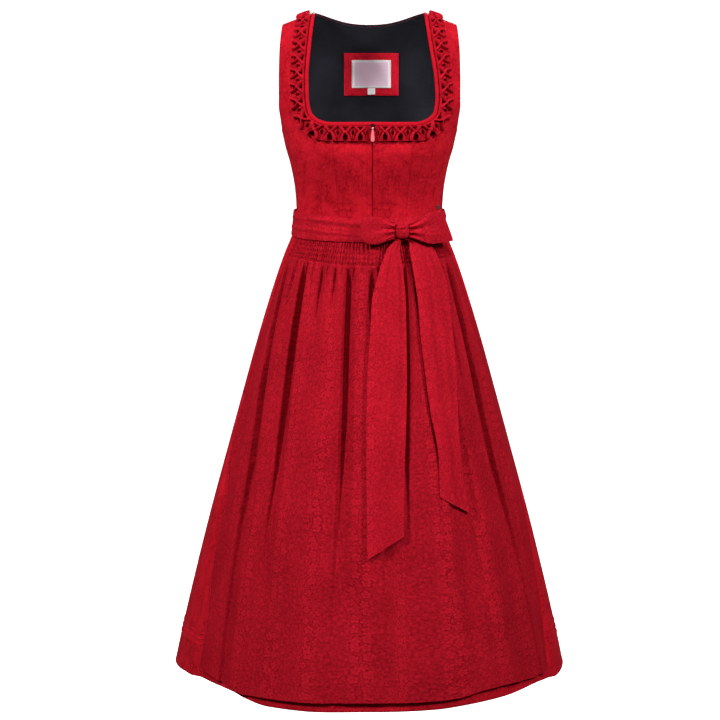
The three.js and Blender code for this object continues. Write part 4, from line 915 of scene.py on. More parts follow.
for side, hand in HANDS:
    closing = front_places(side, [(z, 0) for z, _ in FRONT_PRINCESS], SEAM_GAP / 2)[::-1]
    seam_edge = front_places(side, FRONT_PRINCESS, -SEAM_GAP / 2)[::-1]
    panel(f"bodice_front_centre_{hand}", -1, side, seam_edge, closing, 60, 26, FRONT_CREASES, zip_groove(side))

    inner_edge = np.concatenate([front_places(side, FRONT_PRINCESS, SEAM_GAP / 2),
                                 front_places(side, NECK_SEAM[1:])])[::-1]
    arm_edge = outer_edge(side, FRONT_ARMHOLE)[::-1]
    panel(f"bodice_front_side_{hand}", -1, side, arm_edge, inner_edge, 97, 24, FRONT_CREASES)


def back_top(neck_columns, shoulder_columns):
    """Top row of the back from the middle out: the neckline, then the shoulder seam."""
    share = np.arange(neck_columns + 1) / neck_columns
    x = NECK_SEAM[-1][1] * share
    z = lerp(BACK_NECK_DEPTH_Z, shoulder_top(x), share**2.6)
    z[-1] = SHOULDER
    more = np.linspace(NECK_SEAM[-1][1], FRONT_ARMHOLE[-1][1], shoulder_columns + 1)[1:]
    return np.concatenate([locate(x, z), locate(more, SHOULDER)])


def mirrored(places):
    """Both halves of the back from the half on the wearer's left."""
    other = places[..., ::-1, :] * np.array([-1, 1])
    return np.concatenate([other[..., :-1, :], places], -2)


def back_wall(name, centre, edge, top, rows, offset, cloth, finish, creases):
    """A cloth of the whole back, between its middle, its edges and a top row."""
    centre, edge = finer(centre, rows), finer(edge, rows)
    places = lerp(centre[:, None], edge[:, None], np.linspace(0, 1, len(top))[None, :, None])
    rise = (1 - np.arange(rows) / (rows - 1)) ** 3
    places = mirrored(places + rise[:, None, None] * (top - places[0])[None])[:, ::-1]
    base = bodice_points(1, places, offset)
    relief = creased(base, creases) + (seam_dip(base) if offset == 0 else 0)
    sheet = flat_by_length(bodice_points(1, places, offset + relief))
    inner = bodice_points(1, places, np.minimum(offset + relief, offset + 0.3) - cloth)
    inside = with_flat(inner, sheet[..., 3], sheet[..., 4])
    return make(name, wall(sheet, inside), finish, LINING)


back_edge = np.concatenate([back_places(1, BACK_PRINCESS, -SEAM_GAP / 2), back_places(1, BACK_ARMHOLE[4:])])[::-1]
back_wall("bodice_back_centre", locate(0, BACK_CENTRE_HEIGHTS)[::-1], back_edge, back_top(24, 12), 100, 0.0,
          CLOTH, DRESS, BACK_CREASES)

for side, hand in HANDS:
    inner_edge = back_places(side, BACK_PRINCESS, SEAM_GAP / 2)[::-1]
    arm_edge = outer_edge(side, BACK_ARMHOLE)[: len(inner_edge)][::-1]
    panel(f"bodice_back_side_{hand}", 1, side, arm_edge, inner_edge, 70, 16, BACK_CREASES)


def tucked_in(places):
    """The lining's edges stop a little inside the panels' edges."""
    return np.stack([places[..., 0] * LINING_TUCK_ANGLE, np.maximum(places[..., 1], LINING_TUCK_FALL)], -1)


lining_edge = tucked_in(outer_edge(1, BACK_ARMHOLE))[LINING_EDGE_ROWS][::-1]
lining_creases = [(x, z, slope, length, 6, 0.5) for x, z, slope, length, _, _ in BACK_CREASES]
back_wall("lining_back", locate(0, LINING_HEIGHTS)[::-1], lining_edge, tucked_in(back_top(18, 9)), 80,
          -LINING_DEPTH, LINING_CLOTH, LINING, lining_creases)


def laid_inside(name, spot, depth, thickness, finish, lift=0.0):
    """A flat piece laid inside the back. Its lower corners stand off a little."""
    x, z, width, height = spot
    across, down = np.meshgrid(np.linspace(0.5, -0.5, 33), np.linspace(0.5, -0.5, 25))
    places = locate(x + width * across, z + height * down)
    edge = np.minimum(0.5 - np.abs(across), (0.5 - np.abs(down)) * height / width) * width
    relief = 0.25 * bump(edge, 3.4, 1.0) - 0.35 * bump(edge, 0, 1.2)
    curl = lift * smoothstep(-down, 0.1, 0.5) * (0.3 + np.abs(across) * 1.4)
    outer = bodice_points(1, places, -depth - curl)
    inner = bodice_points(1, places, -depth - thickness - relief - curl)
    u, v = -across * width * MM, (down - 0.5) * height * MM
    return make(name, wall(with_flat(outer, u, v), with_flat(inner, u, v)), finish)


laid_inside("label_patch", PATCH, PATCH_DEPTH, 1, PATCH_CLOTH)
laid_inside("label", LABEL, LABEL_DEPTH, 0.8, LABEL_FINISH, 0.5)
SIZE_TAB_CLOTH = plain_cloth("size_tab_cloth", (0.88, 0.87, 0.88, 1), (0.95, 0.95, 0.96, 1), 0.0005, 0.55, 0.1,
                             WHITE_TINT, 0.0002)
laid_inside("size_tab", SIZE_TAB, LABEL_DEPTH, 0.7, SIZE_TAB_CLOTH, 0.8)


# Neckline


def neck_line(side, count):
    """Evenly spaced places along the neck seam, from the shoulder to the closing line."""
    z, out = np.array(NECK_SEAM[::-1], float).T
    x = side * out + CENTRE_FRONT_X * front_shift(z)
    z = np.where(np.isnan(z), shoulder_top(x), z)
    x = np.concatenate([x, [CENTRE_FRONT_X + side * 40, CENTRE_FRONT_X + side * SEAM_GAP]])
    z = np.concatenate([z, [FRONT_TOP_Z, FRONT_TOP_Z]])
    along = lengths_along(np.stack([x, z], -1))
    fine = np.linspace(0, along[-1], 600)
    x, z = smooth(along, x)(fine), smooth(along, z)(fine)
    places = locate(x, np.minimum(z, shoulder_top(x)))
    places[0, 1] = 0
    length = lengths_along(body_points(-1, places[:, 0], places[:, 1]))
    end = length[-1] - TRIM_END_GAP if count else length[-1]
    at = np.linspace(0, end, count or 160)
    return np.stack([np.interp(at, length, places[:, i]) for i in range(2)], -1), at


def across_line(side, places):
    """Directions across a line of places on the front that lead away from the neck opening."""
    points = body_points(-1, places[:, 0], places[:, 1])
    ahead = np.empty_like(points)
    ahead[1:-1] = points[2:] - points[:-2]
    ahead[0], ahead[-1] = points[1] - points[0], points[-1] - points[-2]
    return unit(np.cross(unit(ahead), body_normals(-1, places))) * -side


def turned(side, strip):
    return strip if side < 0 else strip[:, ::-1]


def strip_places(side, places, distances):
    away = across_line(side, places)
    rows = []
    for distance in distances:
        row = walk(-1, places, away, distance)
        row[:, 1] = np.where(places[:, 1] == 0, 0, row[:, 1])
        rows.append(row)
    return np.stack(rows)


def pinch(along, across):
    """Height of the pinched trim: rolled edges meet in a pinch and open below it into a hollow mouth."""
    unit_number = np.floor(along)
    v = 2 * across - 1
    u = 2 * (along - unit_number) - 1 + 0.08 * uneven(unit_number, 3) * (1 - np.abs(v))
    pinched = -0.22 + 0.10 * uneven(unit_number, 7)
    below = np.clip((v - pinched) / (1 - pinched), 0, 1)
    above = np.clip((pinched - v) / (1 + pinched), 0, 1)
    line = np.where(v > pinched, 0.66 * below**0.62 * (1 - 0.25 * below**4), 0.82 * above**0.9)
    rope = np.abs(np.abs(u) - line) / np.where(v > pinched, 1.12, 1.3)
    roll = np.sqrt(np.clip(1 - (rope / 0.21) ** 2, 0, 1)) * (1 - 0.22 * np.abs(v) ** 3)
    beyond = np.clip(np.abs(u) - line, 0, 1)
    cushion = 0.42 * smoothstep(beyond, 0.16, 0.5) * (1 - 0.7 * bump(np.abs(u), 1, 0.1))
    crossing = 0.22 * np.exp(-((u**2 + (v - pinched) ** 2) / 0.03))
    lips = np.maximum(0.5 * bump(v, -0.95, 0.12), 0.34 * bump(v, 0.95, 0.10) * smoothstep(np.abs(u), 0.3, 0.8))
    height = np.clip(np.maximum(np.maximum(roll, cushion), lips) + crossing, 0, 1.08)
    return lerp(TRIM_LOW, TRIM_HIGH, height * (0.92 + 0.12 * uneven(unit_number, 5)))


# Rolled front binding: distance from the neck seam, height over the bodice
BINDING_ROLL = [(-7, -1.0), (-6.6, -0.2), (-5.8, 0.35), (-4.4, 0.6), (-3, 0.62), (-1.6, 0.5), (-0.8, 0.1), (-0.3, -0.5)]
PINCH_STEPS = 36
PINCH_ROWS = 37
UNDERSIDE_STEP = 12

for side, hand in HANDS:
    seam, along = neck_line(side, 0)
    distances, roll = np.array(BINDING_ROLL).T
    places = strip_places(side, seam, distances)
    outer = bodice_points(-1, places, roll[:, None])
    inner = bodice_points(-1, places, -CLOTH)
    u, v = along[None] * MM, distances[:, None] * MM
    shape = wall(turned(side, with_flat(outer, u, v)), turned(side, with_flat(inner, u, v)))
    make(f"neck_binding_{hand}", shape, TRIM, sharp=60)

    seam, _ = neck_line(side, TRIM_UNITS * PINCH_STEPS + 1)
    across = np.linspace(0, 1, PINCH_ROWS)
    places = strip_places(side, seam, TRIM_START + TRIM_WIDTH * across)
    number = np.arange(TRIM_UNITS * PINCH_STEPS + 1) / PINCH_STEPS
    outer = bodice_points(-1, places, LAID_GAP + pinch(number[None], across[:, None]))
    inner = bodice_points(-1, places[::UNDERSIDE_STEP], LAID_GAP)
    u, v = number[None] * PINCH_LENGTH, across[:, None] * TRIM_WIDTH * MM
    shape = wall(turned(side, with_flat(outer, u, v)), turned(side, with_flat(inner, u, v[::UNDERSIDE_STEP])))
    make(f"neck_trim_{hand}", shape, PINCHED, sharp=75)

# Binding over the back neck edge
top_row = mirrored(back_top(24, 1)[:-1])
up = np.where(np.arange(len(top_row))[:, None] % (len(top_row) - 1) == 0,
              np.stack([-np.sign(top_row[:, 0]), 0 * top_row[:, 0], 0 * top_row[:, 0]], -1),
              unit(np.array([0, -0.45, 0.9])))


def back_binding(profile):
    rows = [bodice_points(1, top_row, offset) + up * rise for rise, offset in profile[::-1]]
    return np.stack(rows)[:, ::-1]


BACK_NECK_LENGTH = 0.22
outside = back_binding([(SEAM_GAP, 0.0), (1.2, 0.7), (2.2, 0.6), (3.0, 0.1), (BACK_BINDING_WIDTH, -0.9)])
inside = back_binding([(SEAM_GAP, -CLOTH), (1.2, -CLOTH - 0.4), (2.2, -CLOTH - 0.3), (3.0, -CLOTH + 0.2),
                       (3.1, -0.95)])
u, v = shares(outside[0])[None] * BACK_NECK_LENGTH, np.arange(5)[:, None] * MM
points, faces, _ = wall(with_flat(outside, u, v), with_flat(inside, u, v))
lining_faces = np.ones(len(faces), int)
lining_faces[: 3 * (len(top_row) - 1)] = 0
make("neck_binding_back", (points, faces, lining_faces), TRIM, LINING, 60)


# Skirt and apron

back_angles = 90 + (np.arange(BACK_FOLDS) + 0.5) * 180 / BACK_FOLDS + 2 * uneven(np.arange(BACK_FOLDS), 1)
back_widths = 5.2 + 0.8 * uneven(np.arange(BACK_FOLDS), 4)
back_rows = [
    (angle, angle + uneven(i, 2), angle + 1.5 * uneven(i, 3), width, width, 11 + 4 * uneven(i, 5),
     -430, -620 + 60 * uneven(i, 6), 0.7 + 0.25 * uneven(i, 7))
    for i, (angle, width) in enumerate(zip(back_angles, back_widths))
]
SHARED_FOLDS = SIDE_FOLDS + back_rows


def fold_angle(top, middle, hem, z):
    above = lerp(middle, top, (z - FOLD_MIDDLE_Z) / (FOLD_TOP_Z - FOLD_MIDDLE_Z))
    below = lerp(hem, middle, (z - HEM_Z) / (FOLD_MIDDLE_Z - HEM_Z))
    return np.where(z > FOLD_MIDDLE_Z, above, below)


def signed(degrees):
    return (degrees + 540) % 360 - 180


def fold_depth(folds, degrees, z, fade=None):
    """Depth of folds, which lose it between two heights: from where they are deepest to the hem, if none are given."""
    degrees, z = np.broadcast_arrays(np.asarray(degrees, float), np.asarray(z, float))
    depth = np.zeros(degrees.shape)
    for top, middle, hem, left, right, deep, start, deepest, end in folds:
        off = signed(degrees - fold_angle(top, middle, hem, z))
        share = np.minimum(np.abs(off) / np.where(off < 0, left, right), 1)
        grown = smoothstep(-z, -start, -deepest)
        fade_from, fade_to = fade or (deepest, HEM_Z)
        if end < 0:
            kept = 1 - smoothstep(-z, -deepest, -end)
        else:
            kept = lerp(1, end, smoothstep(-z, -fade_from, -fade_to))
        depth += deep * grown * kept * np.cos(share * math.pi / 2) ** 2
    return depth


def apron_fold_depth(degrees, z):
    """Depth of the apron's own folds, which have one steep and one soft wall and stay clear of the skirt."""
    own = fold_depth(MAIN_FOLDS + SHORT_FOLDS, degrees, z, MAIN_FOLDS_FADE)
    return np.minimum(own, under_apron(z) - SKIRT_CLOTH - 1.5)


# Soft waves of the lower apron and skirt: degrees, z, half width in degrees, half height, rise
SOFT_WAVES = [
    (-6, -1010, 5, 70, -5), (2, -1030, 4, 60, 5), (10, -985, 5, 80, -4), (-24, -930, 5, 120, 4),
    (-34, -1060, 4, 90, -4), (-14, -820, 4, 110, -4), (26, -900, 4, 130, 4), (33, -1040, 3, 110, -4),
    (44, -980, 3.5, 130, 4), (52, -1090, 3, 80, -3.5), (60, -960, 3, 120, 3.5), (-46, -900, 4, 150, 4),
    (-57, -1100, 4, 70, 3), (-98, -900, 6, 140, 4), (-118, -1050, 5, 110, -4), (-140, -880, 6, 150, 4),
    (-160, -1040, 5, 120, 4), (178, -930, 6, 150, -4), (160, -1080, 5, 100, 4), (138, -930, 6, 130, -4),
    (112, -1040, 5, 120, 4), (96, -860, 6, 140, -3),
]


def soft_waves(degrees, z):
    degrees, z = np.broadcast_arrays(np.asarray(degrees, float), np.asarray(z, float))
    rise = np.zeros(degrees.shape)
    for angle, height, width, tall, amount in SOFT_WAVES:
        rise += amount * bump(signed(degrees - angle), 0, width) * bump(z, height, tall)
    return rise * smoothstep(np.abs(np.abs(signed(degrees)) - 90), 3, 16)


apron_left, apron_right = column(APRON_EDGES, 1), column(APRON_EDGES, 2)
under_apron = column(UNDER_APRON, 1)
band_top, band_bottom = column(BAND_EDGES, 1), column(BAND_EDGES, 2)
skirt_drop, apron_drop = column(HEM_DROPS, 1), column(HEM_DROPS, 2)


def hung(degrees, z, drop):
    """Height of a row that follows the uneven hem."""
    return z + drop(signed(degrees)) * smoothstep(-z, -HEM_EASE_Z, -APRON_HEM_Z)


def gather_depth(degrees, z):
    fade = smoothstep(-z, 400, 430) * (1 - smoothstep(-z, 450, 560))
    return GATHER_DEPTH * fade * (0.5 - 0.5 * np.cos(2 * math.pi * degrees / GATHER_PITCH))


def skirt_inset(degrees, z):
    turn = signed(degrees)
    beyond = np.where(turn < 0, apron_left(z) - turn, turn - apron_right(z))
    covered = 1 - smoothstep(beyond, 0, UNDER_APRON_EASE)
    waves = np.minimum(soft_waves(degrees, z), 2)
    free = fold_depth(SHARED_FOLDS, degrees, z) + gather_depth(degrees, z) - waves
    return lerp(free, under_apron(z), covered)


def skirt_points(degrees, level, out, face):
    z = hung(degrees, level, skirt_drop)
    points = ring_points(skirt_section, degrees, z, out - skirt_inset(degrees, z))
    points[..., 1] += face * SEAM_GAP / 2
    return points


SKIRT_WIDTH = 1.25


def skirt_wall(name, degrees, face):
    heights = np.concatenate([np.linspace(WAIST_Z - SEAM_GAP, -1113, 92), [-1116.2]])
    rows = [(z, 0.0) for z in heights]
    for z in TUCK_HEIGHTS:
        rows += [(z + 0.6, 0.1), (z, TUCK_DEPTH * 0.75), (z - 0.5, TUCK_DEPTH),
                 (z - TUCK_DROP, TUCK_DEPTH * 0.7), (z - TUCK_DROP - 0.2, -0.2), (z - 4, 0.0)]
    rows += [(z, 0.0) for z in np.linspace(-1146, -1195, 8)] + [(-1197.6, 0.3), (HEM_Z, -0.2)]
    z, out = np.array(rows).T
    outer = skirt_points(degrees[None], z[:, None], out[:, None], face)
    inner_z = np.concatenate([heights, np.linspace(-1120, HEM_Z, 12)])
    inner = skirt_points(degrees[None], inner_z[:, None], -SKIRT_CLOTH, face)
    share = (degrees - degrees[0]) / (degrees[-1] - degrees[0])
    u = SKIRT_WIDTH * share[None]
    outer, inner = with_flat(outer, u, z[:, None] * MM), with_flat(inner, u, inner_z[:, None] * MM)
    return make(name, wall(outer, inner), DRESS, sharp=55)


skirt_front = skirt_wall("skirt_front", np.linspace(-90, 90, 341), -1)
skirt_back = skirt_wall("skirt_back", np.linspace(90, 270, 341), 1)

APRON_WIDTH = 0.78
APRON_WAVES = 1.5
FOLD_GUIDE_Z = -700

# Shares across the apron where its main folds lie, so that the columns of its mesh follow the folds
guide_left, guide_right = apron_left(FOLD_GUIDE_Z), apron_right(FOLD_GUIDE_Z)
guide_angles = [fold_angle(*fold[:3], FOLD_GUIDE_Z) for fold in MAIN_FOLDS]
guide_shares = [float((angle - guide_left) / (guide_right - guide_left)) for angle in guide_angles]
guide_shares = [0.0, *guide_shares, 1.0]


def apron_degrees(share, z):
    share, z = np.broadcast_arrays(np.asarray(share, float), np.asarray(z, float))
    lines = [apron_left(z)] + [fold_angle(*fold[:3], z) for fold in MAIN_FOLDS] + [apron_right(z)]
    degrees = lines[0] + 0 * share
    for i in range(len(lines) - 1):
        reached = np.clip((share - guide_shares[i]) / (guide_shares[i + 1] - guide_shares[i]), 0, 1)
        degrees = degrees + (lines[i + 1] - lines[i]) * reached
    return degrees


def apron_points(share, level, out):
    degrees = apron_degrees(share, level)
    z = hung(degrees, level, apron_drop)
    folds = fold_depth(SHARED_FOLDS, degrees, z) + apron_fold_depth(degrees, z)
    folds = np.minimum(folds, under_apron(z) - SKIRT_CLOTH - 1)
    waves = np.minimum(APRON_WAVES * soft_waves(degrees, z), 4)
    return ring_points(skirt_section, degrees, z, out - folds + waves)


def head_height(share, down):
    degrees = np.abs(apron_degrees(share, -405.0))
    height = HEAD_HEIGHT * lerp(1, HEAD_SIDE_SHARE, smoothstep(degrees, 5, 50))
    return band_bottom(degrees) - SEAM_GAP - height * down


near_folds = np.array(guide_shares[1:-1])[:, None] + np.array([-6, -4, -3, -2, -1, 0, 1, 2, 3, 4, 6]) * 0.0011
plain = np.unique(np.round(np.concatenate([np.linspace(0, 1, 331), near_folds.ravel(), [0.003, 0.997]]), 5))
ribbed = np.linspace(0, 1, HEAD_RIBS * 8 + 1)
HEAD_END = 1.1
outer_rows, inner_rows = [], []
for down in np.linspace(0, HEAD_END, 28):
    z = head_height(ribbed, down)
    degrees = apron_degrees(ribbed, z)
    across = (degrees - apron_left(z)) / (apron_right(z) - apron_left(z)) * HEAD_RIBS
    across = across + 0.22 * np.sin(across * 0.31) + 0.12 * np.sin(across * 1.7 + 2)
    drawn_in = sum(bump(down, row, 0.04) for row in HEAD_STITCH_ROWS)
    fading = 1 - smoothstep(down, 0.96, HEAD_END)
    ribs = (0.5 - 0.5 * np.cos(2 * math.pi * across)) ** 0.6 * (1 + 0.22 * uneven(np.floor(across), 21))
    flare = 1.0 * (1 - smoothstep(down, 0, 0.16))
    out = ((3.3 - 1.5 * drawn_in) * ribs - 2.7 - 0.2 * drawn_in) * fading + flare
    outer_rows.append(with_flat(apron_points(ribbed, z, out), ribbed * APRON_WIDTH, z * MM))
for down in (0, 0.5, 1.0):
    z = head_height(plain, down)
    inner_rows.append(with_flat(apron_points(plain, z, -SKIRT_CLOTH - 1.8), plain * APRON_WIDTH, z * MM))
lowest = head_height(plain, HEAD_END)
for share_down in np.linspace(0, 1, 100)[1:] ** 1.12:
    z = lerp(lowest, APRON_HEM_Z, share_down)
    hem_roll = 0.5 * bump(z, APRON_HEM_Z + 2.5, 2) - 0.5 * bump(z, APRON_HEM_Z + 28, 1.6)
    side_roll = 0.7 * (bump(plain, 0.004, 0.003) + bump(plain, 0.996, 0.003))
    side_roll = side_roll - 0.4 * (bump(plain, 0.013, 0.002) + bump(plain, 0.987, 0.002))
    outer_rows.append(with_flat(apron_points(plain, z, hem_roll + side_roll), plain * APRON_WIDTH, z * MM))
for share_down in np.linspace(0, 1, 40)[1:]:
    z = lerp(lowest, APRON_HEM_Z, share_down)
    inner_rows.append(with_flat(apron_points(plain, z, -SKIRT_CLOTH), plain * APRON_WIDTH, z * MM))
# The apron takes the darker copy of its jacquard, which is painted shade.
apron = make("apron", wall(outer_rows, inner_rows), APRON_PAINTED_SHADE, sharp=60)

# Tie band, and how much flat cloth one degree and its height take in metres
CLOTH_PER_DEGREE = 0.0025
BAND_HEIGHT = 0.045
for face, name in ((-1, "band_front"), (1, "band_back")):
    degrees = np.linspace(-90, 90, 241) + (180 if face > 0 else 0)
    turn = np.abs(signed(degrees))
    outer, inner = [], []
    for down in np.linspace(0, 1, 33):
        z = lerp(band_top(turn), band_bottom(turn), down)
        out = BAND_CLOTH + 0.7 * (1 - (2 * down - 1) ** 8) - 0.7
        for height, rise, width, start, end in BAND_CREASES:
            reach = smoothstep(degrees, start, start + 18) * (1 - smoothstep(degrees, end - 18, end))
            drift = 0.05 * np.sin(np.radians(degrees * 3 + 90 * height))
            out = out + rise * reach * bump(down, height + drift, width)
        points = ring_points(band_section, degrees, z, np.minimum(out, BAND_CLOTH + 1.9))
        points[:, 1] += face * SEAM_GAP / 2
        outer.append(with_flat(points, degrees * CLOTH_PER_DEGREE, -down * BAND_HEIGHT))
    for down in np.linspace(0, 1, 9):
        z = lerp(band_top(turn), band_bottom(turn), down)
        points = ring_points(band_section, degrees, z, 0)
        points[:, 1] += face * SEAM_GAP / 2
        inner.append(with_flat(points, degrees * CLOTH_PER_DEGREE, -down * BAND_HEIGHT))
    make(name, wall(outer, inner), APRON, sharp=60)


# Bow


def band_front(x, z):
    return front_of(band_section, x, z) - BAND_CLOTH - 1.6


def knot_shape():
    """Knot of the bow: a wrapped, wrinkled roll of cloth."""
    centre_y = band_front(KNOT_X, KNOT_Z) - KNOT_DEPTH / 2 - KNOT_STAND
    turns = np.linspace(0, math.pi, 57)[1:-1]
    around = np.linspace(0, 2 * math.pi, 121)[:-1]
    rows = []
    for turn in turns:
        radius = math.sin(turn) ** 0.55
        height = math.copysign(abs(math.cos(turn)) ** 0.8, math.cos(turn))
        gathered = 0.075 * np.sin(11 * around + 1.4 * height) * smoothstep(-height, -0.35, 0.7)
        drawn = 0.06 * np.sin(7 * around + 5.5 * height + 1) * smoothstep(height, -0.5, 0.5)
        girdle = 0.10 * bump(height, 0.42 + 0.12 * np.cos(around), 0.12) - 0.09 * bump(height, 0.16, 0.09)
        waist = 0.10 * smoothstep(height, 0.2, 1.0)
        size = radius * (0.95 - waist + (gathered + drawn + girdle) * (1 - abs(height) ** 4))
        x = KNOT_X + KNOT_WIDTH / 2 * size * np.cos(around)
        y = centre_y - KNOT_DEPTH / 2 * size * np.sin(around)
        z = KNOT_Z + KNOT_HEIGHT / 2 * height * 0.98 + 0 * around
        rows.append(np.stack([x, y, z, around * 0.012, z * MM], -1))
    points = np.concatenate(rows + [np.array([[KNOT_X, centre_y, KNOT_Z + KNOT_HEIGHT / 2, 0, 0],
                                              [KNOT_X, centre_y, KNOT_Z - KNOT_HEIGHT / 2, 0, -0.03]])])
    count, faces = len(around), []
    for r in range(len(rows) - 1):
        for i in range(count):
            j = (i + 1) % count
            faces.append([r * count + i, (r + 1) * count + i, (r + 1) * count + j, r * count + j])
    top, bottom, last = len(points) - 2, len(points) - 1, (len(rows) - 1) * count
    for i in range(count):
        j = (i + 1) % count
        faces.append([top, i, j])
        faces.append([bottom, last + j, last + i])
    return points, faces, np.zeros(len(faces), int)


make("bow_knot", knot_shape(), APRON, sharp=70)

# Loops: name, side, start, reach, rise and slant at the tip, half heights at tip and knot, stand-off and
# roundness of the outer corners, then the creases that fan out from the knot: place across, length, slope,
# half width and rise
LOOPS = [
    ("bow_loop_left", -1, 12.5, 60, 1, 0, 24.3, 14.5, 12, 0.12,
     [(0.55, 0.24, 0.5, 0.13, 3.4), (0.16, 0.34, -0.1, 0.10, -3.2), (-0.05, 0.42, -0.5, 0.12, 3.4),
      (-0.42, 0.26, -1.0, 0.11, -3.0), (-0.62, 0.36, -0.5, 0.12, 2.6), (0.86, 0.14, 0.2, 0.1, -2.2)]),
    ("bow_loop_right", 1, 12.6, 70, 5.5, 0.15, 27.5, 14, 14, 0.02,
     [(0.62, 0.30, 0.4, 0.10, -3.0), (0.40, 0.34, 0.3, 0.12, 3.4), (0.05, 0.38, 0.2, 0.10, -3.4),
      (-0.22, 0.40, -0.3, 0.13, 3.2), (-0.58, 0.30, -0.4, 0.11, -2.8), (-0.82, 0.24, -0.2, 0.10, 2.2)]),
]
LOOP_MOUTH = 166

for name, side, start, reach, rise, slant, tip_half, knot_half, lift, rounding, creases in LOOPS:
    turn = np.radians(np.linspace(LOOP_MOUTH, -LOOP_MOUTH, 161))
    across = np.linspace(1, -1, 57)
    along = reach / 2 * (1 + np.cos(turn))
    share = along / reach
    half_height = lerp(knot_half, tip_half, smoothstep(share, 0, LOOP_SPREAD))
    front_side = np.where(np.sin(turn) < 0, 1.0, 0.5)

    def loop_sheet(out):
        rows = []
        for high in across:
            pleat = np.zeros_like(share)
            for place, length, slope, wide, tall in creases:
                fan = place + slope * share
                pleat += tall * bump(share, 0, length) * bump(high, fan, wide * (1 + 1.5 * share))
            dent = bump(share, 0.75, 0.15) * high - 2.2 * bump(share, 0.58, 0.22) * bump(high, 0.1, 0.45)
            swell = LOOP_FLATNESS * (0.55 + 0.45 * share) * (1 - 0.25 * high**4)
            relief = (pleat + dent) * front_side * smoothstep(1 - share, 0.02, 0.2)
            corner = np.abs(high) ** 4 * smoothstep(share, 0.6, 1.0)
            slanted = along * (1 - slant * high * share - rounding * corner)
            x = KNOT_X + side * (start + slanted + out * np.cos(turn))
            z = KNOT_Z + high * half_height * (1 - 0.5 * rounding * corner) + rise * share
            y = band_front(KNOT_X + side * (start + along * 0.8), KNOT_Z) - lift
            y = y + (swell + out) * np.sin(turn) + relief * np.sign(np.sin(turn)) * 0.9
            points = np.stack([x, y, z], -1)
            rows.append(with_flat(points, turn * reach / 2 * MM, high * tip_half * MM))
        return turned(side, np.stack(rows))

    shape = wall(loop_sheet(LOOP_CLOTH / 2), loop_sheet(-LOOP_CLOTH / 2))
    make(name, shape, APRON, sharp=70)

# Creases of the tails: share across, share down, half width across, half length down, rise
TAIL_CREASES = {
    "bow_tail_left": [
        (0.30, 0.10, 0.09, 0.09, 3.0), (0.78, 0.16, 0.07, 0.12, 2.4), (0.5, 0.30, 0.10, 0.10, -1.8),
        (0.2, 0.45, 0.08, 0.14, 1.4), (0.62, 0.62, 0.12, 0.14, 1.4), (0.34, 0.82, 0.12, 0.12, -1.4),
    ],
    "bow_tail_right": [
        (0.22, 0.10, 0.08, 0.10, 2.8), (0.66, 0.14, 0.08, 0.10, 2.6), (0.45, 0.34, 0.10, 0.12, -1.8),
        (0.72, 0.50, 0.09, 0.16, 1.6), (0.28, 0.68, 0.10, 0.14, 1.3), (0.6, 0.86, 0.12, 0.10, -1.3),
    ],
}
TAIL_WIDTH = 0.062


def tail(name, rows):
    rows = np.array(rows, float)
    length = lengths_along(rows[:, :2])
    down = np.linspace(0, 1, 121)
    left_x, left_z, right_x, right_z, lift, crease = [
        smooth(length / length[-1], rows[:, i])(down)[:, None] for i in range(6)
    ]
    across = np.concatenate([[0, 0.008, 0.02, 0.035], np.linspace(0.06, 0.94, 34), [0.965, 0.98, 0.992, 1]])[None]
    x, z = lerp(left_x, right_x, across), lerp(left_z, right_z, across)
    out = lift + 3.2 * bump(across, crease, 0.14)
    for place, height, wide, long, rise in TAIL_CREASES[name]:
        out = out + rise * bump(across, place, wide) * bump(down[:, None], height, long)
    edge = np.minimum(across, 1 - across) * np.hypot(right_x - left_x, right_z - left_z)
    out = np.maximum(out + 0.5 * bump(edge, 0.9, 0.9) - 0.35 * bump(edge, 7, 0.8), 1.6)
    y = front_of(skirt_section, x, z)
    sheets = []
    for cloth in (TAIL_CLOTH, 0):
        points = np.stack([x, y - out - cloth, z], -1)
        sheets.append(with_flat(points, across * TAIL_WIDTH, -down[:, None] * length[-1] * MM))
    return make(name, wall(*sheets), APRON, sharp=60)


tail_left = tail("bow_tail_left", TAIL_LEFT)
tail_right = tail("bow_tail_right", TAIL_RIGHT)


# Sewing


def stitches(name, line, normals, length, gap, width=0.55, height=0.35):
    """A row of stitches along a line, each a small rounded bar that lies on the cloth."""
    along = lengths_along(line)
    starts = np.arange(0, along[-1] - length, length + gap)

    def at(s):
        return np.stack([np.interp(s, along, line[:, i]) for i in range(3)], -1)

    def up_at(s):
        return unit(np.stack([np.interp(s, along, normals[:, i]) for i in range(3)], -1))

    profile = [(-0.5, 0.0), (-0.3, 0.9), (0.3, 0.9), (0.5, 0.0)]
    stations = [(0.0, 0.15), (0.2, 1.0), (0.8, 1.0), (1.0, 0.15)]
    points, faces = [], []
    for station, tall in stations:
        centre, up = at(starts + length * station), up_at(starts + length * station)
        ahead = unit(at(starts + length) - at(starts))
        aside = unit(np.cross(ahead, up))
        for place, rise in profile:
            points.append(centre + aside * (place * width) + up * (rise * height * tall + 0.05))
    points = np.stack(points, 1).reshape(-1, 3)
    for s in range(3):
        for p in range(3):
            a, b = s * 4 + p, (s + 1) * 4 + p
            faces.append([a, a + 1, b + 1, b])
    faces += [[s * 4, (s + 1) * 4, (s + 1) * 4 + 3, s * 4 + 3] for s in range(3)]
    faces += [[3, 2, 1, 0], [12, 13, 14, 15]]
    small_bars(name, points, points[:, :2], faces, 16)


def small_bars(name, points, flat, bar_faces, corner_count):
    """Makes a piece of many small bars that all have the same faces."""
    starts = range(0, len(points), corner_count)
    faces = [[start + corner for corner in face] for start in starts for face in bar_faces]
    shape = (np.concatenate([points, flat * MM], -1), faces, None)
    make(name, shape, THREAD, sharp=30, replaces=False)


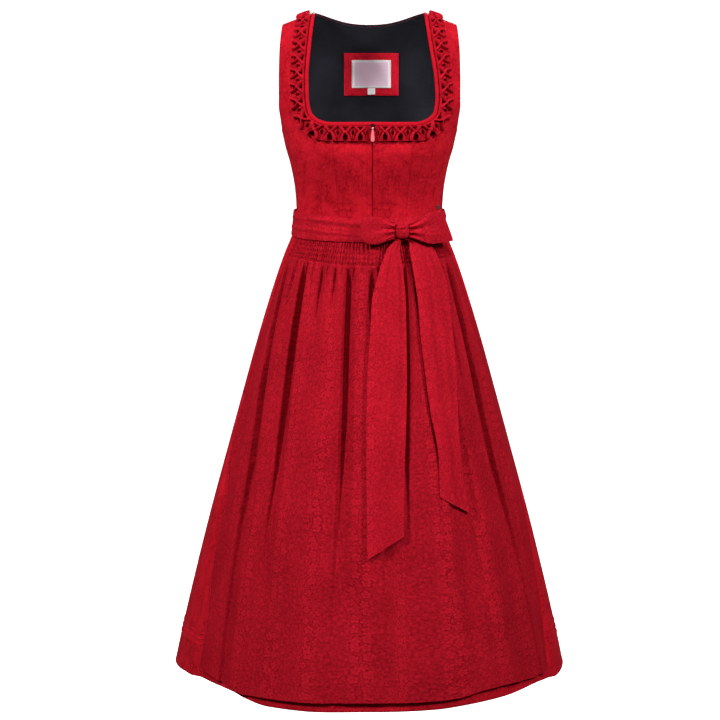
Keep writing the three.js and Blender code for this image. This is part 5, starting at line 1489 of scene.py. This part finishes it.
def apron_line(share, z, out=0.1):
    points = apron_points(share, z, out)
    before, after = np.clip(share - 0.002, 0, 1), np.clip(share + 0.002, 0, 1)
    step = apron_points(after, z, out) - apron_points(before, z, out)
    return points, unit(np.cross(step, np.array([0, 0, 1.0])))


share = np.linspace(0.012, 0.988, 900)
stitches("apron_hem_stitches", *apron_line(share, APRON_HEM_Z + 28.0), 2.6, 1.0)
z = np.linspace(-455, APRON_HEM_Z + 4, 500)
stitches("apron_side_stitches_right", *apron_line(0.012, z), 2.6, 1.0)
stitches("apron_side_stitches_left", *apron_line(0.988, z), 2.6, 1.0)
for number, down in enumerate(HEAD_STITCH_ROWS):
    share = np.linspace(0.004, 0.996, 1200)
    stitches(f"smocking_stitches_{number + 1}", *apron_line(share, head_height(share, down), -0.2), 2.0, 1.3)

for side, hand in HANDS:
    for number, out in enumerate((9.5, 18)):
        places = locate(CENTRE_FRONT_X + side * out, np.linspace(-238, -372, 160))
        line = bodice_points(-1, places, -0.25)
        stitches(f"zip_stitches_{hand}_{number + 1}", line, body_normals(-1, places), 2.2, 1.0, 0.5, 0.3)
    seam, _ = neck_line(side, 0)
    places = strip_places(side, seam[2:-3], [-1.1])[0]
    line = bodice_points(-1, places, 0.35)
    stitches(f"binding_stitches_{hand}", line, body_normals(-1, places), 2.2, 1.1, 0.5, 0.3)

for name, spot, depth, inset in (("label_patch_stitches", PATCH, PATCH_DEPTH + 1, 2.4),
                                 ("label_stitches", LABEL, LABEL_DEPTH + 0.8, 1.2)):
    x, z, width, height = spot
    half_x, half_z = width / 2 - inset, height / 2 - inset
    corners = np.array([(-1, 1), (1, 1), (1, -1), (-1, -1), (-1, 1)]) * (half_x, half_z) + (x, z)
    path = np.concatenate([np.linspace(a, b, 40)[:-1] for a, b in zip(corners, corners[1:])])
    places = locate(path[:, 0], path[:, 1])
    line = bodice_points(1, places, -depth)
    stitches(name, line, -body_normals(1, places), 2.0, 1.0, 0.45, 0.3)

# Zip: coils behind the closing, on the tape
TOOTH = np.array([3.0, 0.45, 0.8])
CORNERS = np.array([(a, b, c) for c in (-0.5, 0.5) for b in (-0.5, 0.5) for a in (-0.5, 0.5)])
CUBE = [[0, 2, 3, 1], [4, 5, 7, 6], [0, 1, 5, 4], [2, 6, 7, 3], [0, 4, 6, 2], [1, 3, 7, 5]]
seat = bodice_points(-1, locate(CENTRE_FRONT_X, np.arange(-206, -370, -1.5)), -CLOTH - 0.55)
seat[::2, 0] -= 0.7
seat[1::2, 0] += 0.7
teeth = (seat[:, None] + CORNERS * TOOTH).reshape(-1, 3)
small_bars("zip_teeth", teeth, teeth[:, [0, 2]], CUBE, 8)

for node, finish, slot in (("zip_tape", TRIM, "trim_cloth"), ("zip_slider", DARK_METAL, "silver_metal"),
                           ("zip_tab", ENAMEL, "tab_enamel"), ("side_badge", SILVER, "silver_metal")):
    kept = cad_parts[node]
    kept.data.materials.clear()
    kept.data.materials.append(finish)

# Setting: pale floor, soft studio light and the photograph's view


def plain_floor():
    """A pale floor that runs up into a bright wall behind the garment."""
    mesh = bpy.data.meshes.new("floor")
    level, half, front, turn, radius = HEM_Z * MM - 0.32, 9.0, -6.0, 3.2, 1.2
    bend = np.linspace(0, math.pi / 2, 13)
    profile = [(front, level)] + [(turn + radius * math.sin(a), level + radius * (1 - math.cos(a))) for a in bend]
    profile.append((turn + radius, level + 7))
    corners = [(x, y, z) for y, z in profile for x in (-half, half)]
    mesh.from_pydata(corners, [], [(2 * i, 2 * i + 1, 2 * i + 3, 2 * i + 2) for i in range(len(profile) - 1)])
    material = bpy.data.materials.new("floor")
    material.use_nodes = True
    shader = material.node_tree.nodes["Principled BSDF"]
    shader.inputs["Base Color"].default_value = (0.9, 0.9, 0.9, 1)
    shader.inputs["Roughness"].default_value = 0.9
    shader.inputs["Emission Color"].default_value = (1, 1, 1, 1)
    shader.inputs["Emission Strength"].default_value = 0.95
    mesh.materials.append(material)
    mesh.shade_smooth()
    floor = bpy.data.objects.new("floor", mesh)
    bpy.context.scene.collection.objects.link(floor)
    floor.visible_diffuse = False
    floor.visible_glossy = False


def soft_light(name, place, target, size, power):
    light = bpy.data.lights.new(name, "AREA")
    light.shape, light.size, light.energy = "DISK", size, power
    lamp = bpy.data.objects.new(name, light)
    lamp.location = place
    lamp.rotation_euler = (Vector(target) - Vector(place)).to_track_quat("-Z", "Y").to_euler()
    bpy.context.scene.collection.objects.link(lamp)


plain_floor()

# Lights: place, aim, size, power
soft_light("left_box", (-2.2, -1.75, 1.3), (0, -0.1, 0.9), 0.6, 130)
soft_light("right_box", (2.3, -1.65, 1.2), (0, -0.1, 0.9), 0.7, 116)
soft_light("front_box", (0, -2.2, 1.3), (0, 0, 0.6), 0.5, 34)
soft_light("back_box", (0.3, 2.5, 1.0), (0, 0, -0.5), 1.0, 45)

world = bpy.data.worlds.new("studio")
world.use_nodes = True
world.node_tree.nodes["Background"].inputs["Color"].default_value = (1, 1, 1, 1)
world.node_tree.nodes["Background"].inputs["Strength"].default_value = 0.10
bpy.context.scene.world = world
bpy.context.scene.view_settings.view_transform = "Standard"

CAMERA_DISTANCE = 3.237
CAMERA_RISE = 8.7
CAMERA_TARGET = Vector((-0.017, 0, -0.629))
lens = bpy.data.cameras.new("camera")
lens.lens, lens.sensor_width = 87.95, 36
camera = bpy.data.objects.new("camera", lens)
rise = math.radians(CAMERA_RISE)
camera.location = CAMERA_TARGET + CAMERA_DISTANCE * Vector((0, -math.cos(rise), math.sin(rise)))
camera.rotation_euler = (math.pi / 2 - rise, 0, 0)
bpy.context.scene.collection.objects.link(camera)
bpy.context.scene.camera = camera
